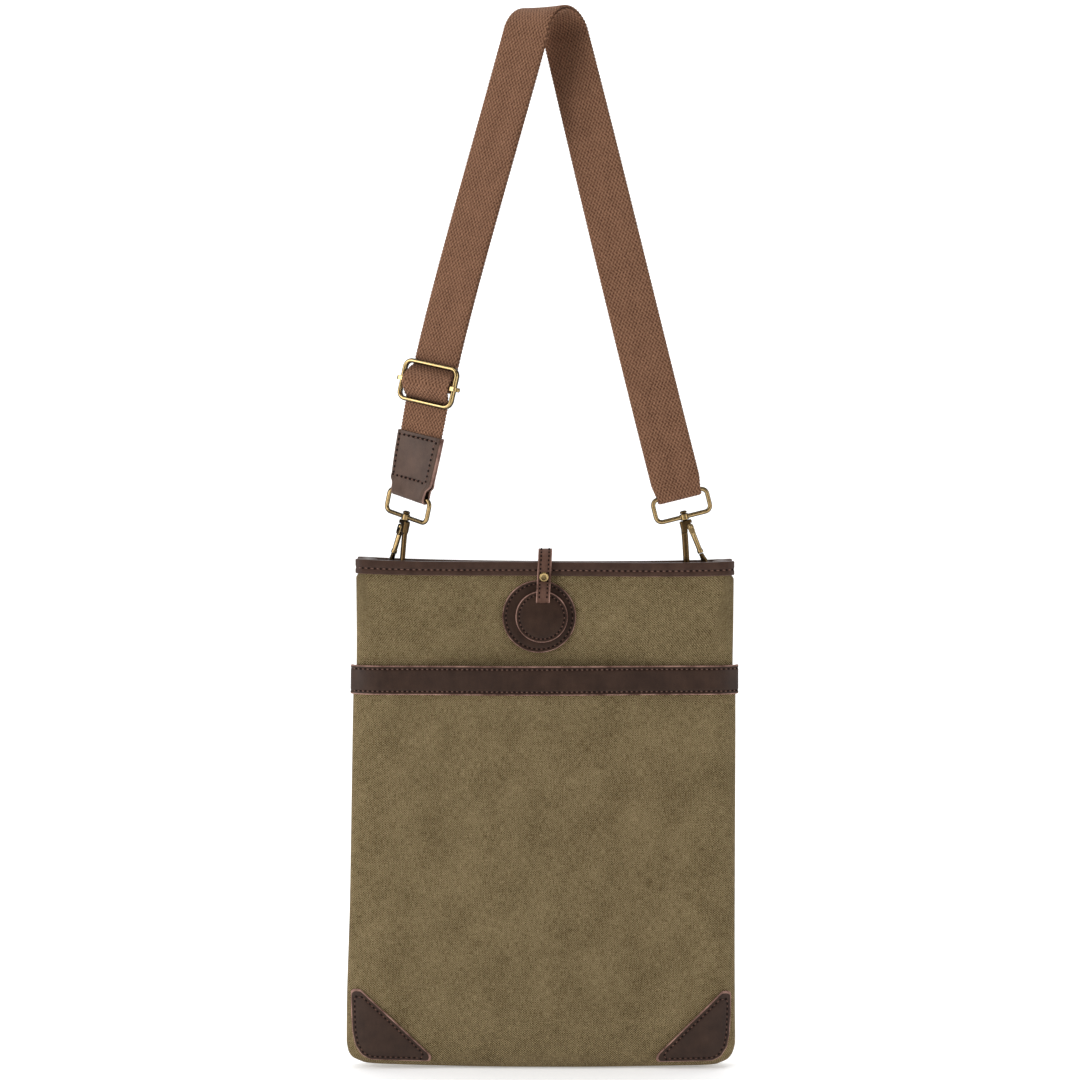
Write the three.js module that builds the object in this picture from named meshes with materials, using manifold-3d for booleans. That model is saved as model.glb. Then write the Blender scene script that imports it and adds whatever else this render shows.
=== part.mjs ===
// Flat canvas pouch with a slip pocket, held up by its adjustable webbing strap.
// Millimetres, +Z up, front towards -Y, origin under the crown of the strap where it hangs.
import * as THREE from 'three';
import { mergeVertices } from 'three/addons/utils/BufferGeometryUtils.js';
import Module from 'manifold-3d';

const wasm = await Module();
wasm.setup();

const DEG = Math.PI / 180;

// Clearance between two pieces that touch on the real pouch, and the extra ease of a bend
const gap = 0.3;
const bendEase = 0.15;
const discCorners = 28;

// The pouch
const dropToRim = 344;
const pouchHeight = 326.3;
const pouchHalfWidth = 121;
const pouchDepth = 26;
const canvasWall = 1.6;
const mouthCornerLift = 1.8;
const liftFade = 60;

// Leather
const leatherThickness = 1.5;
const bindingHeight = 9;
const bindingRound = 0.8;
const bandHeight = 18.7;

// The slip pocket
const pocketDrop = 66.5;
const pocketCloth = 1.5;
const pocketEase = 6;
const pocketHem = 0.8;

// Corner patches: reach is how far out from the middle a patch's side edge stands
const patchLow = 5;
const leftPatchOver = 0.5;
const rightPatchShort = 1.5;
const patches = {
  left: { sign: -1, reach: pouchHalfWidth + leftPatchOver, width: 49.6, height: 45.4 },
  right: { sign: 1, reach: pouchHalfWidth - rightPatchShort, width: 46.6, height: 44.4 },
};

// A patch's outline from its side edge, as shares of its width and height
const patchOutline = [
  { across: 0, up: 0.98 },
  { across: 0.11, up: 1 },
  { across: 0.54, up: 0.56 },
  { across: 0.98, up: 0.1 },
  { across: 1, up: 0.05 },
  { across: 0.98, up: 0 },
  { across: 0.24, up: 0 },
  { across: 0.14, up: 0.07 },
  { across: 0.045, up: 0.27 },
  { across: 0.025, up: 0.56 },
];

// The closure
const baseDiscRadius = 23.4;
const buttonDiscRadius = 16.6;
const buttonThickness = 2.2;
const discDrop = 35.3;
const baseDiscShift = -2.4;
const buttonDiscShift = -0.8;
const tabWidth = 8.7;
const tabThickness = 2.4;
const tabBackLength = 27;
const tabShift = 1.2;
const tabSlant = 1.8;
const tabRise = 5.7;
const tabBend = 5;
const slotRise = 9.3;
const rivetRadius = 3.05;
const rivetHeight = 1.4;
const rivetDrop = 10.5;

// The strap
const webWidth = 31.2;
const webLoopWidth = 28.2;
const webLoopTaper = 9;
const webThickness = 1.6;
const hangerRadius = 14;
const crownYaw = 28;
const crownSlant = 16;
const crownShift = 1.9;

// The leather end of the strap
const strapEndLength = 39;
const strapEndWidth = 33.5;
const strapEndNeck = 31;
const strapEndFold = 28.4;
const webTuck = 25;

// The slider
const sliderRise = 71;
const sliderWidth = 41;
const sliderHeight = 27.4;
const sliderCorner = 6;
const sliderWire = 3;
const sliderDepth = 4.4;
const sliderBarRadius = 1.4;
const collarWall = 1.1;
const collarHeight = 2.8;
const collarKnob = 1.4;

// The rings
const ringWidth = 38.2;
const ringHeight = 14.7;
const ringWireRadius = 1.45;
const ringCorner = 3.75;
const bossRadius = 2.7;
const bossHeight = 4;

// The swivel hooks
const postRadius = 1.4;
const postClearance = 0.3;
const headRadius = 2.3;
const headHeight = 1.7;
const blockWidth = 8;
const blockDepth = 4.4;
const blockHeight = 7.7;
const blockCorner = 1.5;
const spineAcross = 2.05;
const spineDeep = 1.5;
const noseRadius = 1.5;
const eyeRadius = 6.5;
const eyeDrop = 34;
const spineTop = 2.1;
const gateRadius = 1.85;
const gateLength = 18.2;
const gateRootRadius = 2;
const gatePivotAcross = 2.2;
const gatePivotDrop = 7;
const gateLean = 8;
const tongueThickness = 1.4;
const pinRadius = 0.75;
const pinClearance = 0.25;

// The D-rings and their tabs
const dringWidth = 15;
const dringHeight = 11;
const dringWireRadius = 1.25;
const dringCorner = 1.6;
const dringTabWidth = 9;
const dringTabPly = 1.3;
const dringTabSewn = 12;
const dringTabFree = 24;
const dringDrop = 8.6;
const eyeSlack = 0.35;
const castOverlap = 1;

// Each side of the strap: how far in from the pouch's side its D-ring is, how its parts lean
// sideways and tip forwards, how straight its leg is pulled and how far it bows to the side,
// and how each part is turned
const sides = {
  left: {
    sign: -1, inset: 26.4, lean: 11.8, tip: 6, pull: 1.25, bow: -2.6,
    ringYaw: 40, hookYaw: 50, dringYaw: 14, slack: 0.9,
  },
  right: {
    sign: 1, inset: 22.2, lean: 14, tip: 0, pull: 1, bow: -0.7,
    ringYaw: 0, hookYaw: 0, dringYaw: 0, slack: 0,
  },
};

// How the strap's broad face turns on its way from the crown to each ring, as shares of the leg
const yawTable = {
  left: [
    { along: 0, share: 0 },
    { along: 0.8, share: 0.02 },
    { along: 0.9, share: 0.3 },
    { along: 1, share: 1 },
  ],
  right: [
    { along: 0, share: 0 },
    { along: 0.25, share: 0.32 },
    { along: 0.5, share: 0.62 },
    { along: 1, share: 1 },
  ],
};

// Sections of the pouch. down is a share of its height; left, right and corner are shares of its
// half width; the depths of front, back, seam and fold are shares of its whole depth.
const sections = [
  { down: 0, left: 0.963, right: 0.983, corner: 0.03,
    frontMid: 0.17, frontEnd: 0.44, backMid: 0.14, backEnd: 0.44, seam: 0.38, fold: 0.27 },
  { down: 0.042, left: 0.963, right: 0.983, corner: 0.03,
    frontMid: 0.17, frontEnd: 0.44, backMid: 0.14, backEnd: 0.44, seam: 0.38, fold: 0.27 },
  { down: 0.055, left: 0.978, right: 0.999, corner: 0.05,
    frontMid: 0.18, frontEnd: 0.44, backMid: 0.17, backEnd: 0.44, seam: 0.36, fold: 0.26 },
  { down: 0.12, left: 0.978, right: 0.999, corner: 0.09,
    frontMid: 0.25, frontEnd: 0.43, backMid: 0.29, backEnd: 0.43, seam: 0.27, fold: 0.2 },
  { down: 0.19, left: 0.976, right: 0.994, corner: 0.15,
    frontMid: 0.3, frontEnd: 0.41, backMid: 0.41, backEnd: 0.41, seam: 0.2, fold: 0.12 },
  { down: 0.34, left: 0.982, right: 0.994, corner: 0.19,
    frontMid: 0.35, frontEnd: 0.39, backMid: 0.5, backEnd: 0.4, seam: 0.16, fold: 0 },
  { down: 0.68, left: 1, right: 0.992, corner: 0.19,
    frontMid: 0.36, frontEnd: 0.38, backMid: 0.5, backEnd: 0.4, seam: 0.16, fold: 0 },
  { down: 0.88, left: 1.016, right: 0.994, corner: 0.18,
    frontMid: 0.38, frontEnd: 0.36, backMid: 0.46, backEnd: 0.38, seam: 0.16, fold: 0 },
  { down: 0.955, left: 1.015, right: 0.992, corner: 0.17,
    frontMid: 0.36, frontEnd: 0.33, backMid: 0.4, backEnd: 0.34, seam: 0.15, fold: 0 },
  { down: 0.976, left: 1.004, right: 0.978, corner: 0.16,
    frontMid: 0.33, frontEnd: 0.29, backMid: 0.36, backEnd: 0.3, seam: 0.13, fold: 0 },
  { down: 0.99, left: 0.982, right: 0.955, corner: 0.13,
    frontMid: 0.27, frontEnd: 0.24, backMid: 0.3, backEnd: 0.25, seam: 0.11, fold: 0 },
  { down: 1, left: 0.945, right: 0.918, corner: 0.1,
    frontMid: 0.18, frontEnd: 0.16, backMid: 0.2, backEnd: 0.17, seam: 0.08, fold: 0 },
];

// How far the middle of the pocket stands off the pouch, as a share of its ease
const easeTable = [
  { down: 0, ease: 1 },
  { down: 0.34, ease: 1 },
  { down: 0.68, ease: 0.85 },
  { down: 0.88, ease: 0.45 },
  { down: 0.955, ease: 0.2 },
  { down: 0.976, ease: 0.1 },
  { down: 0.99, ease: 0 },
  { down: 1, ease: 0 },
];

const finishes = {
  canvas: { color: 0x776a49, roughness: 0.95, metalness: 0 },
  leather: { color: 0x4a3a32, roughness: 0.55, metalness: 0 },
  webbing: { color: 0x7b5340, roughness: 0.9, metalness: 0 },
  brass: { color: 0x8a6f45, roughness: 0.35, metalness: 1 },
};

const pouch = new THREE.Group();

function addPiece(name, geometry, finish) {
  const mesh = new THREE.Mesh(geometry, new THREE.MeshStandardMaterial(finishes[finish]));
  mesh.name = name;
  pouch.add(mesh);
  return mesh;
}

// Small helpers for numbers and tables
const mix = (a, b, t) => a + (b - a) * t;

function readTable(rows, key, value) {
  let i = 0;
  while (i < rows.length - 2 && value > rows[i + 1][key]) {
    i += 1;
  }
  const low = rows[i];
  const high = rows[i + 1];
  const t = THREE.MathUtils.clamp((value - low[key]) / (high[key] - low[key]), 0, 1);
  const found = {};
  for (const name of Object.keys(low)) {
    found[name] = mix(low[name], high[name], t);
  }
  return found;
}

// A closed skin through rings of equally many points. Its ends are capped, or joined when looped.
function loft(rings, looped = false) {
  const count = rings[0].length;
  const positions = rings.flat().flatMap((p) => [p.x, p.y, p.z]);
  const index = [];
  const spans = looped ? rings.length : rings.length - 1;
  for (let r = 0; r < spans; r += 1) {
    const low = r * count;
    const high = ((r + 1) % rings.length) * count;
    for (let i = 0; i < count; i += 1) {
      const j = (i + 1) % count;
      index.push(low + i, low + j, high + j);
      index.push(low + i, high + j, high + i);
    }
  }
  if (!looped) {
    index.push(...capFaces(rings[0], 0).reverse());
    index.push(...capFaces(rings[rings.length - 1], (rings.length - 1) * count));
  }
  return faceOut(positions, index);
}

// Triangles that close a ring, worked out in the ring's own plane
function capFaces(ring, offset) {
  const normal = new THREE.Vector3();
  const centre = new THREE.Vector3();
  ring.forEach((p) => centre.addScaledVector(p, 1 / ring.length));
  ring.forEach((p, i) => {
    const q = ring[(i + 1) % ring.length];
    normal.add(p.clone().sub(centre).cross(q.clone().sub(centre)));
  });
  normal.normalize();
  const across = Math.abs(normal.x) < 0.9 ? new THREE.Vector3(1, 0, 0) : new THREE.Vector3(0, 1, 0);
  across.addScaledVector(normal, -across.dot(normal)).normalize();
  const up = normal.clone().cross(across);
  const flat = ring.map((p) => {
    const q = p.clone().sub(centre);
    return new THREE.Vector2(q.dot(across), q.dot(up));
  });
  return THREE.ShapeUtils.triangulateShape(flat, []).flat().map((i) => i + offset);
}

function faceOut(positions, index) {
  let volume = 0;
  const corner = (i) => new THREE.Vector3().fromArray(positions, index[i] * 3);
  for (let i = 0; i < index.length; i += 3) {
    volume += corner(i).dot(corner(i + 1).cross(corner(i + 2)));
  }
  const geometry = new THREE.BufferGeometry();
  geometry.setAttribute('position', new THREE.Float32BufferAttribute(positions, 3));
  geometry.setIndex(volume < 0 ? index.slice().reverse() : index);
  return geometry;
}

// Joins and cuts of closed solids
function toSolid(geometry) {
  const plain = geometry.clone();
  plain.deleteAttribute('normal');
  plain.deleteAttribute('uv');
  const merged = mergeVertices(plain, 1e-4);
  return new wasm.Manifold(new wasm.Mesh({
    numProp: 3,
    vertProperties: new Float32Array(merged.attributes.position.array),
    triVerts: new Uint32Array(merged.index.array),
  }));
}

function fromSolid(solid) {
  const mesh = solid.getMesh();
  const geometry = new THREE.BufferGeometry();
  geometry.setAttribute('position', new THREE.BufferAttribute(mesh.vertProperties, 3));
  geometry.setIndex(new THREE.BufferAttribute(mesh.triVerts, 1));
  return geometry;
}

function joinAll(geometries) {
  return geometries.map(toSolid).reduce((whole, part) => whole.add(part));
}

// A path in a plane that bends round circles like a belt. A row with radius 0 is a plain point;
// a positive radius has the circle on the path's left, a negative one on its right.
function beltPath(rows, bendStep = 30) {
  const directions = [];
  for (let i = 0; i < rows.length - 1; i += 1) {
    const a = rows[i];
    const b = rows[i + 1];
    const distance = Math.hypot(b.u - a.u, b.v - a.v);
    const angle = Math.atan2(b.v - a.v, b.u - a.u);
    directions.push(angle - Math.asin((b.radius - a.radius) / distance));
  }
  const path = [];
  rows.forEach((row, i) => {
    const first = directions[Math.max(i - 1, 0)];
    let turn = directions[Math.min(i, directions.length - 1)] - first;
    if (row.turn !== undefined) {
      turn = row.turn * DEG;
    } else if (row.radius === 0) {
      turn = Math.atan2(Math.sin(turn), Math.cos(turn));
    } else {
      const whole = 2 * Math.PI * Math.sign(row.radius);
      turn = ((turn % whole) + whole) % whole;
    }
    if (row.radius === 0) {
      path.push({ u: row.u, v: row.v, angle: first + turn / 2, stretch: 1 / Math.cos(turn / 2) });
      return;
    }
    const steps = Math.max(1, Math.ceil(Math.abs(turn) / (bendStep * DEG) - 1e-6));
    for (let k = 0; k <= steps; k += 1) {
      const angle = first + turn * (k / steps);
      path.push({
        u: row.u + row.radius * Math.sin(angle),
        v: row.v - row.radius * Math.cos(angle),
        angle,
        stretch: 1,
      });
    }
  });
  return path;
}

// A flat band of the given width and thickness that follows a belt path. frameAt gives the place,
// the path's forward, outward and sideways directions for a distance u.
function bandAlong(path, frameAt, width, thickness) {
  const rings = path.map((station) => {
    const frame = frameAt(station.u);
    const centre = frame.place.clone().addScaledVector(frame.outward, station.v);
    const forward = Math.cos(station.angle);
    const outward = Math.sin(station.angle);
    const thick = frame.forward.clone().multiplyScalar(-outward)
      .addScaledVector(frame.outward, forward)
      .multiplyScalar((thickness / 2) * station.stretch);
    const half = (typeof width === 'function' ? width(station.u) : width) / 2;
    const side = frame.sideways.clone().multiplyScalar(half);
    return [
      centre.clone().sub(side).sub(thick),
      centre.clone().sub(thick),
      centre.clone().add(side).sub(thick),
      centre.clone().add(side).add(thick),
      centre.clone().add(thick),
      centre.clone().sub(side).add(thick),
    ];
  });
  return loft(rings);
}

// A round or oval wire along points, with its own half sizes across and along the given axis
function wireRings(points, axis, closed, sizeAt, corners = 8) {
  const last = points.length - 1;
  return points.map((p, i) => {
    const before = points[closed ? (i + last) % points.length : Math.max(i - 1, 0)];
    const after = points[closed ? (i + 1) % points.length : Math.min(i + 1, last)];
    const along = after.clone().sub(before).normalize();
    const across = along.clone().cross(axis).normalize();
    const size = sizeAt(i);
    const ring = [];
    for (let k = 0; k < corners; k += 1) {
      const angle = ((k + 0.5) / corners) * 2 * Math.PI;
      const q = p.clone().addScaledVector(across, Math.cos(angle) * size.across);
      ring.push(q.addScaledVector(axis, Math.sin(angle) * size.deep));
    }
    return ring;
  });
}

// Points of a rounded rectangle about the origin of the X, Z plane
function roundedLoop(width, height, radius, steps = 4) {
  const centres = [[1, 1, 0], [-1, 1, 90], [-1, -1, 180], [1, -1, 270]];
  const points = [];
  for (const [sx, sz, start] of centres) {
    for (let k = 0; k <= steps; k += 1) {
      const angle = (start + (k / steps) * 90) * DEG;
      const x = sx * (width / 2 - radius) + radius * Math.cos(angle);
      const z = sz * (height / 2 - radius) + radius * Math.sin(angle);
      points.push(new THREE.Vector3(x, 0, z));
    }
  }
  return points;
}

function cylinder(radius, height, segments = 16) {
  return new THREE.CylinderGeometry(radius, radius, height, segments).rotateX(Math.PI / 2);
}

function crossPin(radius, length, segments = 12) {
  return new THREE.CylinderGeometry(radius, radius, length, segments);
}

// The pouch's form
const rimZ = -dropToRim;
const bottomZ = rimZ - pouchHeight;
const canvasTopZ = rimZ - leatherThickness - gap;
const bindingOut = gap + leatherThickness;
const bindingIn = canvasWall + gap + leatherThickness;
const xAxis = new THREE.Vector3(1, 0, 0);
const yAxis = new THREE.Vector3(0, 1, 0);
const zAxis = new THREE.Vector3(0, 0, 1);

function sectionAt(z) {
  const down = (rimZ - z) / pouchHeight;
  const row = readTable(sections, 'down', down);
  return {
    down,
    z,
    left: row.left * pouchHalfWidth,
    right: row.right * pouchHalfWidth,
    corner: row.corner * pouchHalfWidth,
    frontMid: row.frontMid * pouchDepth,
    frontEnd: row.frontEnd * pouchDepth,
    backMid: row.backMid * pouchDepth,
    backEnd: row.backEnd * pouchDepth,
    seam: row.seam * pouchDepth,
    fold: row.fold * pouchDepth,
  };
}

// The other face of a wall, moved out by the same amount all round and in the side folds. Moved
// in, the sharp edge beside a fold also draws back along the fold.
function shell(section, out) {
  const inwards = Math.min(out, 0);
  const slope = section.fold / section.seam;
  const tip = out * Math.hypot(1, slope) + inwards * slope;
  return {
    ...section,
    left: section.left + tip,
    right: section.right + tip,
    corner: Math.max(0.4, section.corner + out),
    frontMid: section.frontMid + out,
    frontEnd: section.frontEnd + out,
    backMid: section.backMid + out,
    backEnd: section.backEnd + out,
    seam: Math.max(0.4, section.seam + inwards),
    fold: section.fold + inwards * slope,
  };
}

// A face of something laid on the front: its sides stay at the seam's depth
function overlay(section, out, middle = out) {
  return {
    ...section,
    left: section.left + out,
    right: section.right + out,
    corner: section.corner + out,
    frontMid: section.frontMid + middle,
    frontEnd: section.frontEnd + out,
  };
}

const swell = (t) => 0.5 * (1 + Math.cos(Math.PI * THREE.MathUtils.clamp(t, -1, 1)));

// The mouth's corners stand a little higher than its middle
function lifted(x, y, z) {
  const fade = THREE.MathUtils.clamp(1 - (rimZ - z) / liftFade, 0, 1);
  const share = Math.min(1, Math.abs(x) / pouchHalfWidth);
  return new THREE.Vector3(x, y, z + mouthCornerLift * fade * share ** 4);
}

// Half of an outline, from its left seam round the two corners to its right seam
const cornerSteps = 4;
const flatSteps = 12;

function halfOutline(section, mid, end, direction) {
  const points = [];
  const add = (x, depth) => points.push(lifted(x, direction * depth, section.z));
  for (let k = 0; k < cornerSteps; k += 1) {
    const angle = (k / cornerSteps) * 90 * DEG;
    const x = -(section.left - section.corner) - section.corner * Math.cos(angle);
    add(x, section.seam + (end - section.seam) * Math.sin(angle));
  }
  for (let k = 0; k <= flatSteps; k += 1) {
    const t = -1 + (2 * k) / flatSteps;
    const x = t * ((t < 0 ? section.left : section.right) - section.corner);
    add(x, end + (mid - end) * swell(t));
  }
  for (let k = cornerSteps - 1; k >= 0; k -= 1) {
    const angle = (k / cornerSteps) * 90 * DEG;
    const x = section.right - section.corner + section.corner * Math.cos(angle);
    add(x, section.seam + (end - section.seam) * Math.sin(angle));
  }
  return points;
}

const frontOutline = (section) => halfOutline(section, section.frontMid, section.frontEnd, -1);
const backOutline = (section) => halfOutline(section, section.backMid, section.backEnd, 1);

function wholeOutline(section) {
  return [
    ...frontOutline(section),
    lifted(section.right - section.fold, 0, section.z),
    ...backOutline(section).reverse(),
    lifted(-(section.left - section.fold), 0, section.z),
  ];
}

// How far the front stands forward at a place, on the same flat facets as its outline
function frontDepth(section, x) {
  const outline = frontOutline(section);
  let i = 0;
  while (i < outline.length - 2 && x > outline[i + 1].x) {
    i += 1;
  }
  const t = (x - outline[i].x) / (outline[i + 1].x - outline[i].x);
  return -mix(outline[i].y, outline[i + 1].y, THREE.MathUtils.clamp(t, 0, 1));
}

// The canvas body: an open bag with its wall all round and a flat bottom
const pocketTopZ = rimZ - pocketDrop;
const pocketPanelTopZ = pocketTopZ - pocketHem;
const bandLowZ = pocketTopZ - bandHeight;
const bodyLevels = [
  ...sections.map((row) => Math.min(canvasTopZ, rimZ - row.down * pouchHeight)),
  pocketTopZ,
  pocketPanelTopZ,
  bandLowZ,
].sort((a, b) => b - a);
const floorZ = bottomZ + canvasWall;
const innerLevels = bodyLevels.filter((z) => z > floorZ + canvasWall);
const bodyRings = [
  wholeOutline(shell(sectionAt(floorZ), -canvasWall)),
  ...innerLevels.slice().reverse().map((z) => wholeOutline(shell(sectionAt(z), -canvasWall))),
  ...bodyLevels.map((z) => wholeOutline(sectionAt(z))),
];
addPiece('canvas_body', loft(bodyRings), 'canvas');

// The binding: a strip folded over the canvas edge, so its section is a U upside down
const bindingLowZ = rimZ - bindingHeight;
const bindingProfile = [
  { out: bindingOut, z: bindingLowZ },
  { out: bindingOut, z: rimZ - bindingRound },
  { out: bindingOut - bindingRound, z: rimZ },
  { out: bindingRound - bindingIn, z: rimZ },
  { out: -bindingIn, z: rimZ - bindingRound },
  { out: -bindingIn, z: bindingLowZ },
  { out: -canvasWall - gap, z: bindingLowZ },
  { out: -canvasWall - gap, z: rimZ - leatherThickness },
  { out: gap, z: rimZ - leatherThickness },
  { out: gap, z: bindingLowZ },
];
const rimSection = sectionAt(rimZ);
const bindingRings = bindingProfile.map((row) => (
  wholeOutline({ ...shell(rimSection, row.out), z: row.z })
));
addPiece('top_binding', loft(bindingRings, true), 'leather');

// The pocket: a canvas panel over the front that stands off the pouch in its middle
function pocketSection(z, out) {
  const section = sectionAt(z);
  const ease = readTable(easeTable, 'down', section.down).ease * pocketEase;
  return overlay(section, gap + out, gap + out + ease);
}

function frontSheet(levels, inner, outer) {
  return loft(levels.map((z) => [
    ...frontOutline(outer(z)),
    ...frontOutline(inner(z)).reverse(),
  ]));
}

const pocketLevels = bodyLevels.filter((z) => z <= pocketPanelTopZ);
addPiece('pocket_panel', frontSheet(
  pocketLevels,
  (z) => pocketSection(z, 0),
  (z) => pocketSection(z, pocketCloth),
), 'canvas');

const bandOut = pocketCloth + gap;
addPiece('pocket_band', frontSheet(
  [pocketTopZ, pocketPanelTopZ, bandLowZ],
  (z) => pocketSection(z, bandOut),
  (z) => pocketSection(z, bandOut + leatherThickness),
), 'leather');

// A flat leather shape laid on the front: cut out of a sheet that follows the cloth below it
function cutFromSheet(levels, inner, outer, shape) {
  const prism = new THREE.ExtrudeGeometry(shape, { depth: 2 * pouchDepth, bevelEnabled: false });
  prism.rotateX(Math.PI / 2);
  return toSolid(frontSheet(levels, inner, outer)).intersect(toSolid(prism));
}

// The corner patches, on the pocket's lower corners
const patchLevels = pocketLevels.filter((z) => z < bandLowZ);

for (const [name, patch] of Object.entries(patches)) {
  const lowZ = bottomZ + patchLow;
  const shape = new THREE.Shape(patchOutline.map((row) => new THREE.Vector2(
    patch.sign * (patch.reach - row.across * patch.width),
    lowZ + row.up * patch.height,
  )));
  addPiece(`corner_patch_${name}`, fromSolid(cutFromSheet(
    patchLevels,
    (z) => pocketSection(z, bandOut),
    (z) => pocketSection(z, bandOut + leatherThickness),
    shape,
  )), 'leather');
}

// The closure discs, which follow the canvas front
const discZ = rimZ - discDrop;
const discLevels = bodyLevels.filter((z) => z > pocketPanelTopZ);
const baseDiscOut = gap + leatherThickness;
const buttonOut = baseDiscOut + gap;

function disc(centreX, radius, inner, outer) {
  const circle = new THREE.Shape();
  circle.absarc(centreX, discZ, radius, 0, 2 * Math.PI);
  const points = circle.getPoints(discCorners / 2).slice(1);
  return cutFromSheet(
    discLevels,
    (z) => overlay(sectionAt(z), inner),
    (z) => overlay(sectionAt(z), outer),
    new THREE.Shape(points),
  );
}

addPiece(
  'closure_base_disc',
  fromSolid(disc(baseDiscShift, baseDiscRadius, gap, baseDiscOut)),
  'leather',
);

const slotZ = discZ + slotRise;
const buttonFrontAtSlot = frontDepth(sectionAt(slotZ), 0) + buttonOut + buttonThickness;
const tabLeanX = (z) => tabShift - tabSlant * ((rimZ - z) / discDrop);
const slotCut = new THREE.BoxGeometry(
  tabWidth + 2 * gap,
  3 * buttonThickness,
  tabThickness + 2 * gap,
);
slotCut.translate(tabLeanX(slotZ), -(buttonFrontAtSlot - buttonThickness / 2), slotZ);
const buttonDisc = disc(
  buttonDiscShift,
  buttonDiscRadius,
  buttonOut,
  buttonOut + buttonThickness,
).subtract(toSolid(slotCut));
addPiece('closure_button_disc', fromSolid(buttonDisc), 'leather');

// The tab: sewn on the back, over the mouth in an arch and down into the button disc's slot
const tabHalf = tabThickness / 2;
const tabOverRim = rimSection.frontMid + bindingOut + gap + tabHalf;
const tabBehindRim = rimSection.backMid + bindingOut + gap + tabHalf;
const bendZ = rimZ + tabRise - tabBend;
const tabBackZ = rimZ - tabBackLength;
const tabOverBack = sectionAt(tabBackZ).backMid + gap + tabHalf;
const discTopZ = discZ + baseDiscRadius;
const buttonTopZ = discZ + buttonDiscRadius;
const rivetZ = rimZ - rivetDrop;
const tabOverBase = frontDepth(sectionAt(discTopZ), 0) + baseDiscOut + gap + tabHalf;
const tabOverButton = Math.max(
  frontDepth(sectionAt(buttonTopZ), 0),
  frontDepth(sectionAt(slotZ), 0),
) + buttonOut + buttonThickness + gap + tabHalf;
const tuckRadius = tabHalf + gap;
const tabRows = [
  { u: -tabOverBack, v: tabBackZ, radius: 0 },
  { u: -tabBehindRim, v: rimZ - bindingHeight, radius: 0 },
  { u: tabBend - tabBehindRim, v: bendZ, radius: -tabBend },
  { u: tabOverRim - tabBend, v: bendZ, radius: -tabBend },
  { u: tabOverBase, v: rivetZ + rivetRadius + tabHalf, radius: 0 },
  { u: tabOverBase, v: rivetZ - rivetRadius - gap, radius: 0 },
  { u: tabOverButton, v: buttonTopZ + tabHalf, radius: 0 },
  { u: tabOverButton - tuckRadius, v: slotZ + tuckRadius, radius: -tuckRadius },
  { u: buttonFrontAtSlot - buttonThickness + gap, v: slotZ, radius: 0 },
];
const tabBendStep = 22.5;
const tabRings = beltPath(tabRows, tabBendStep).map((station) => {
  const x = tabLeanX(station.v);
  const ny = Math.sin(station.angle) * tabHalf * station.stretch;
  const nz = Math.cos(station.angle) * tabHalf * station.stretch;
  return [
    new THREE.Vector3(x - tabWidth / 2, -station.u - ny, station.v - nz),
    new THREE.Vector3(x + tabWidth / 2, -station.u - ny, station.v - nz),
    new THREE.Vector3(x + tabWidth / 2, -station.u + ny, station.v + nz),
    new THREE.Vector3(x - tabWidth / 2, -station.u + ny, station.v + nz),
  ];
});
addPiece('closure_tab', loft(tabRings), 'leather');

// The rivet: a low cap with a dished middle
const rivetProfile = [
  [0, 0], [rivetRadius, 0], [rivetRadius, rivetHeight * 0.5], [rivetRadius * 0.9, rivetHeight * 0.85],
  [rivetRadius * 0.75, rivetHeight], [rivetRadius * 0.62, rivetHeight], [0, rivetHeight * 0.6],
].map(([r, h]) => new THREE.Vector2(r, h));
const tabFrontAtRivet = tabOverBase + tabHalf + gap;
const rivet = new THREE.LatheGeometry(rivetProfile, 16);
rivet.rotateX(Math.PI);
rivet.translate(tabLeanX(rivetZ), -tabFrontAtRivet, rivetZ);
addPiece('tab_rivet', fromSolid(toSolid(rivet)), 'brass');

// Where each side's hook, ring and D-ring sit. Their shared axis runs up from the D-ring's wire,
// which the hook's eye holds, through the swivel to the ring's top bar.
const wireInEye = eyeRadius - spineAcross - dringWireRadius - eyeSlack;

function hardwareFrame(side) {
  const up = new THREE.Vector3(
    -side.sign * Math.tan(side.lean * DEG),
    -Math.tan(side.tip * DEG),
    1,
  ).normalize();
  const wire = new THREE.Vector3(side.sign * (pouchHalfWidth - side.inset), 0, rimZ - dringDrop);
  const boss = wire.clone().addScaledVector(up, eyeDrop + wireInEye);
  const bar = boss.clone().addScaledVector(up, ringHeight);
  return { up, wire, boss, bar };
}

// A basis whose Z is up and whose front turns left by yaw degrees, placed at a point
function turnedBasis(up, yaw, place) {
  const front = new THREE.Vector3(-Math.sin(yaw * DEG), -Math.cos(yaw * DEG), 0);
  front.addScaledVector(up, -front.dot(up)).normalize();
  const back = front.negate();
  const right = back.clone().cross(up);
  return new THREE.Matrix4().makeBasis(right, back, up).setPosition(place);
}

// The line of the doubled strap, half way between its two layers: up the left leg, over the
// crown in a slanting turn, and down the right leg
const layerOffset = (webThickness + gap) / 2;
const crownRadius = hangerRadius + webThickness + gap / 2;
const crownCentre = new THREE.Vector3(crownShift, 0, -hangerRadius);
const hangerAxis = new THREE.Vector3(Math.cos(crownYaw * DEG), -Math.sin(crownYaw * DEG), 0);
const crownFront = new THREE.Vector3(-Math.sin(crownYaw * DEG), -Math.cos(crownYaw * DEG), 0);
const slantPerRadian = crownRadius * Math.tan(crownSlant * DEG);

function crownPoint(turn) {
  const outward = crownFront.clone().multiplyScalar(-Math.sin(turn));
  outward.z += Math.cos(turn);
  const place = crownCentre.clone().addScaledVector(outward, crownRadius);
  place.addScaledVector(hangerAxis, slantPerRadian * turn);
  return { place, outward };
}

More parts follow.
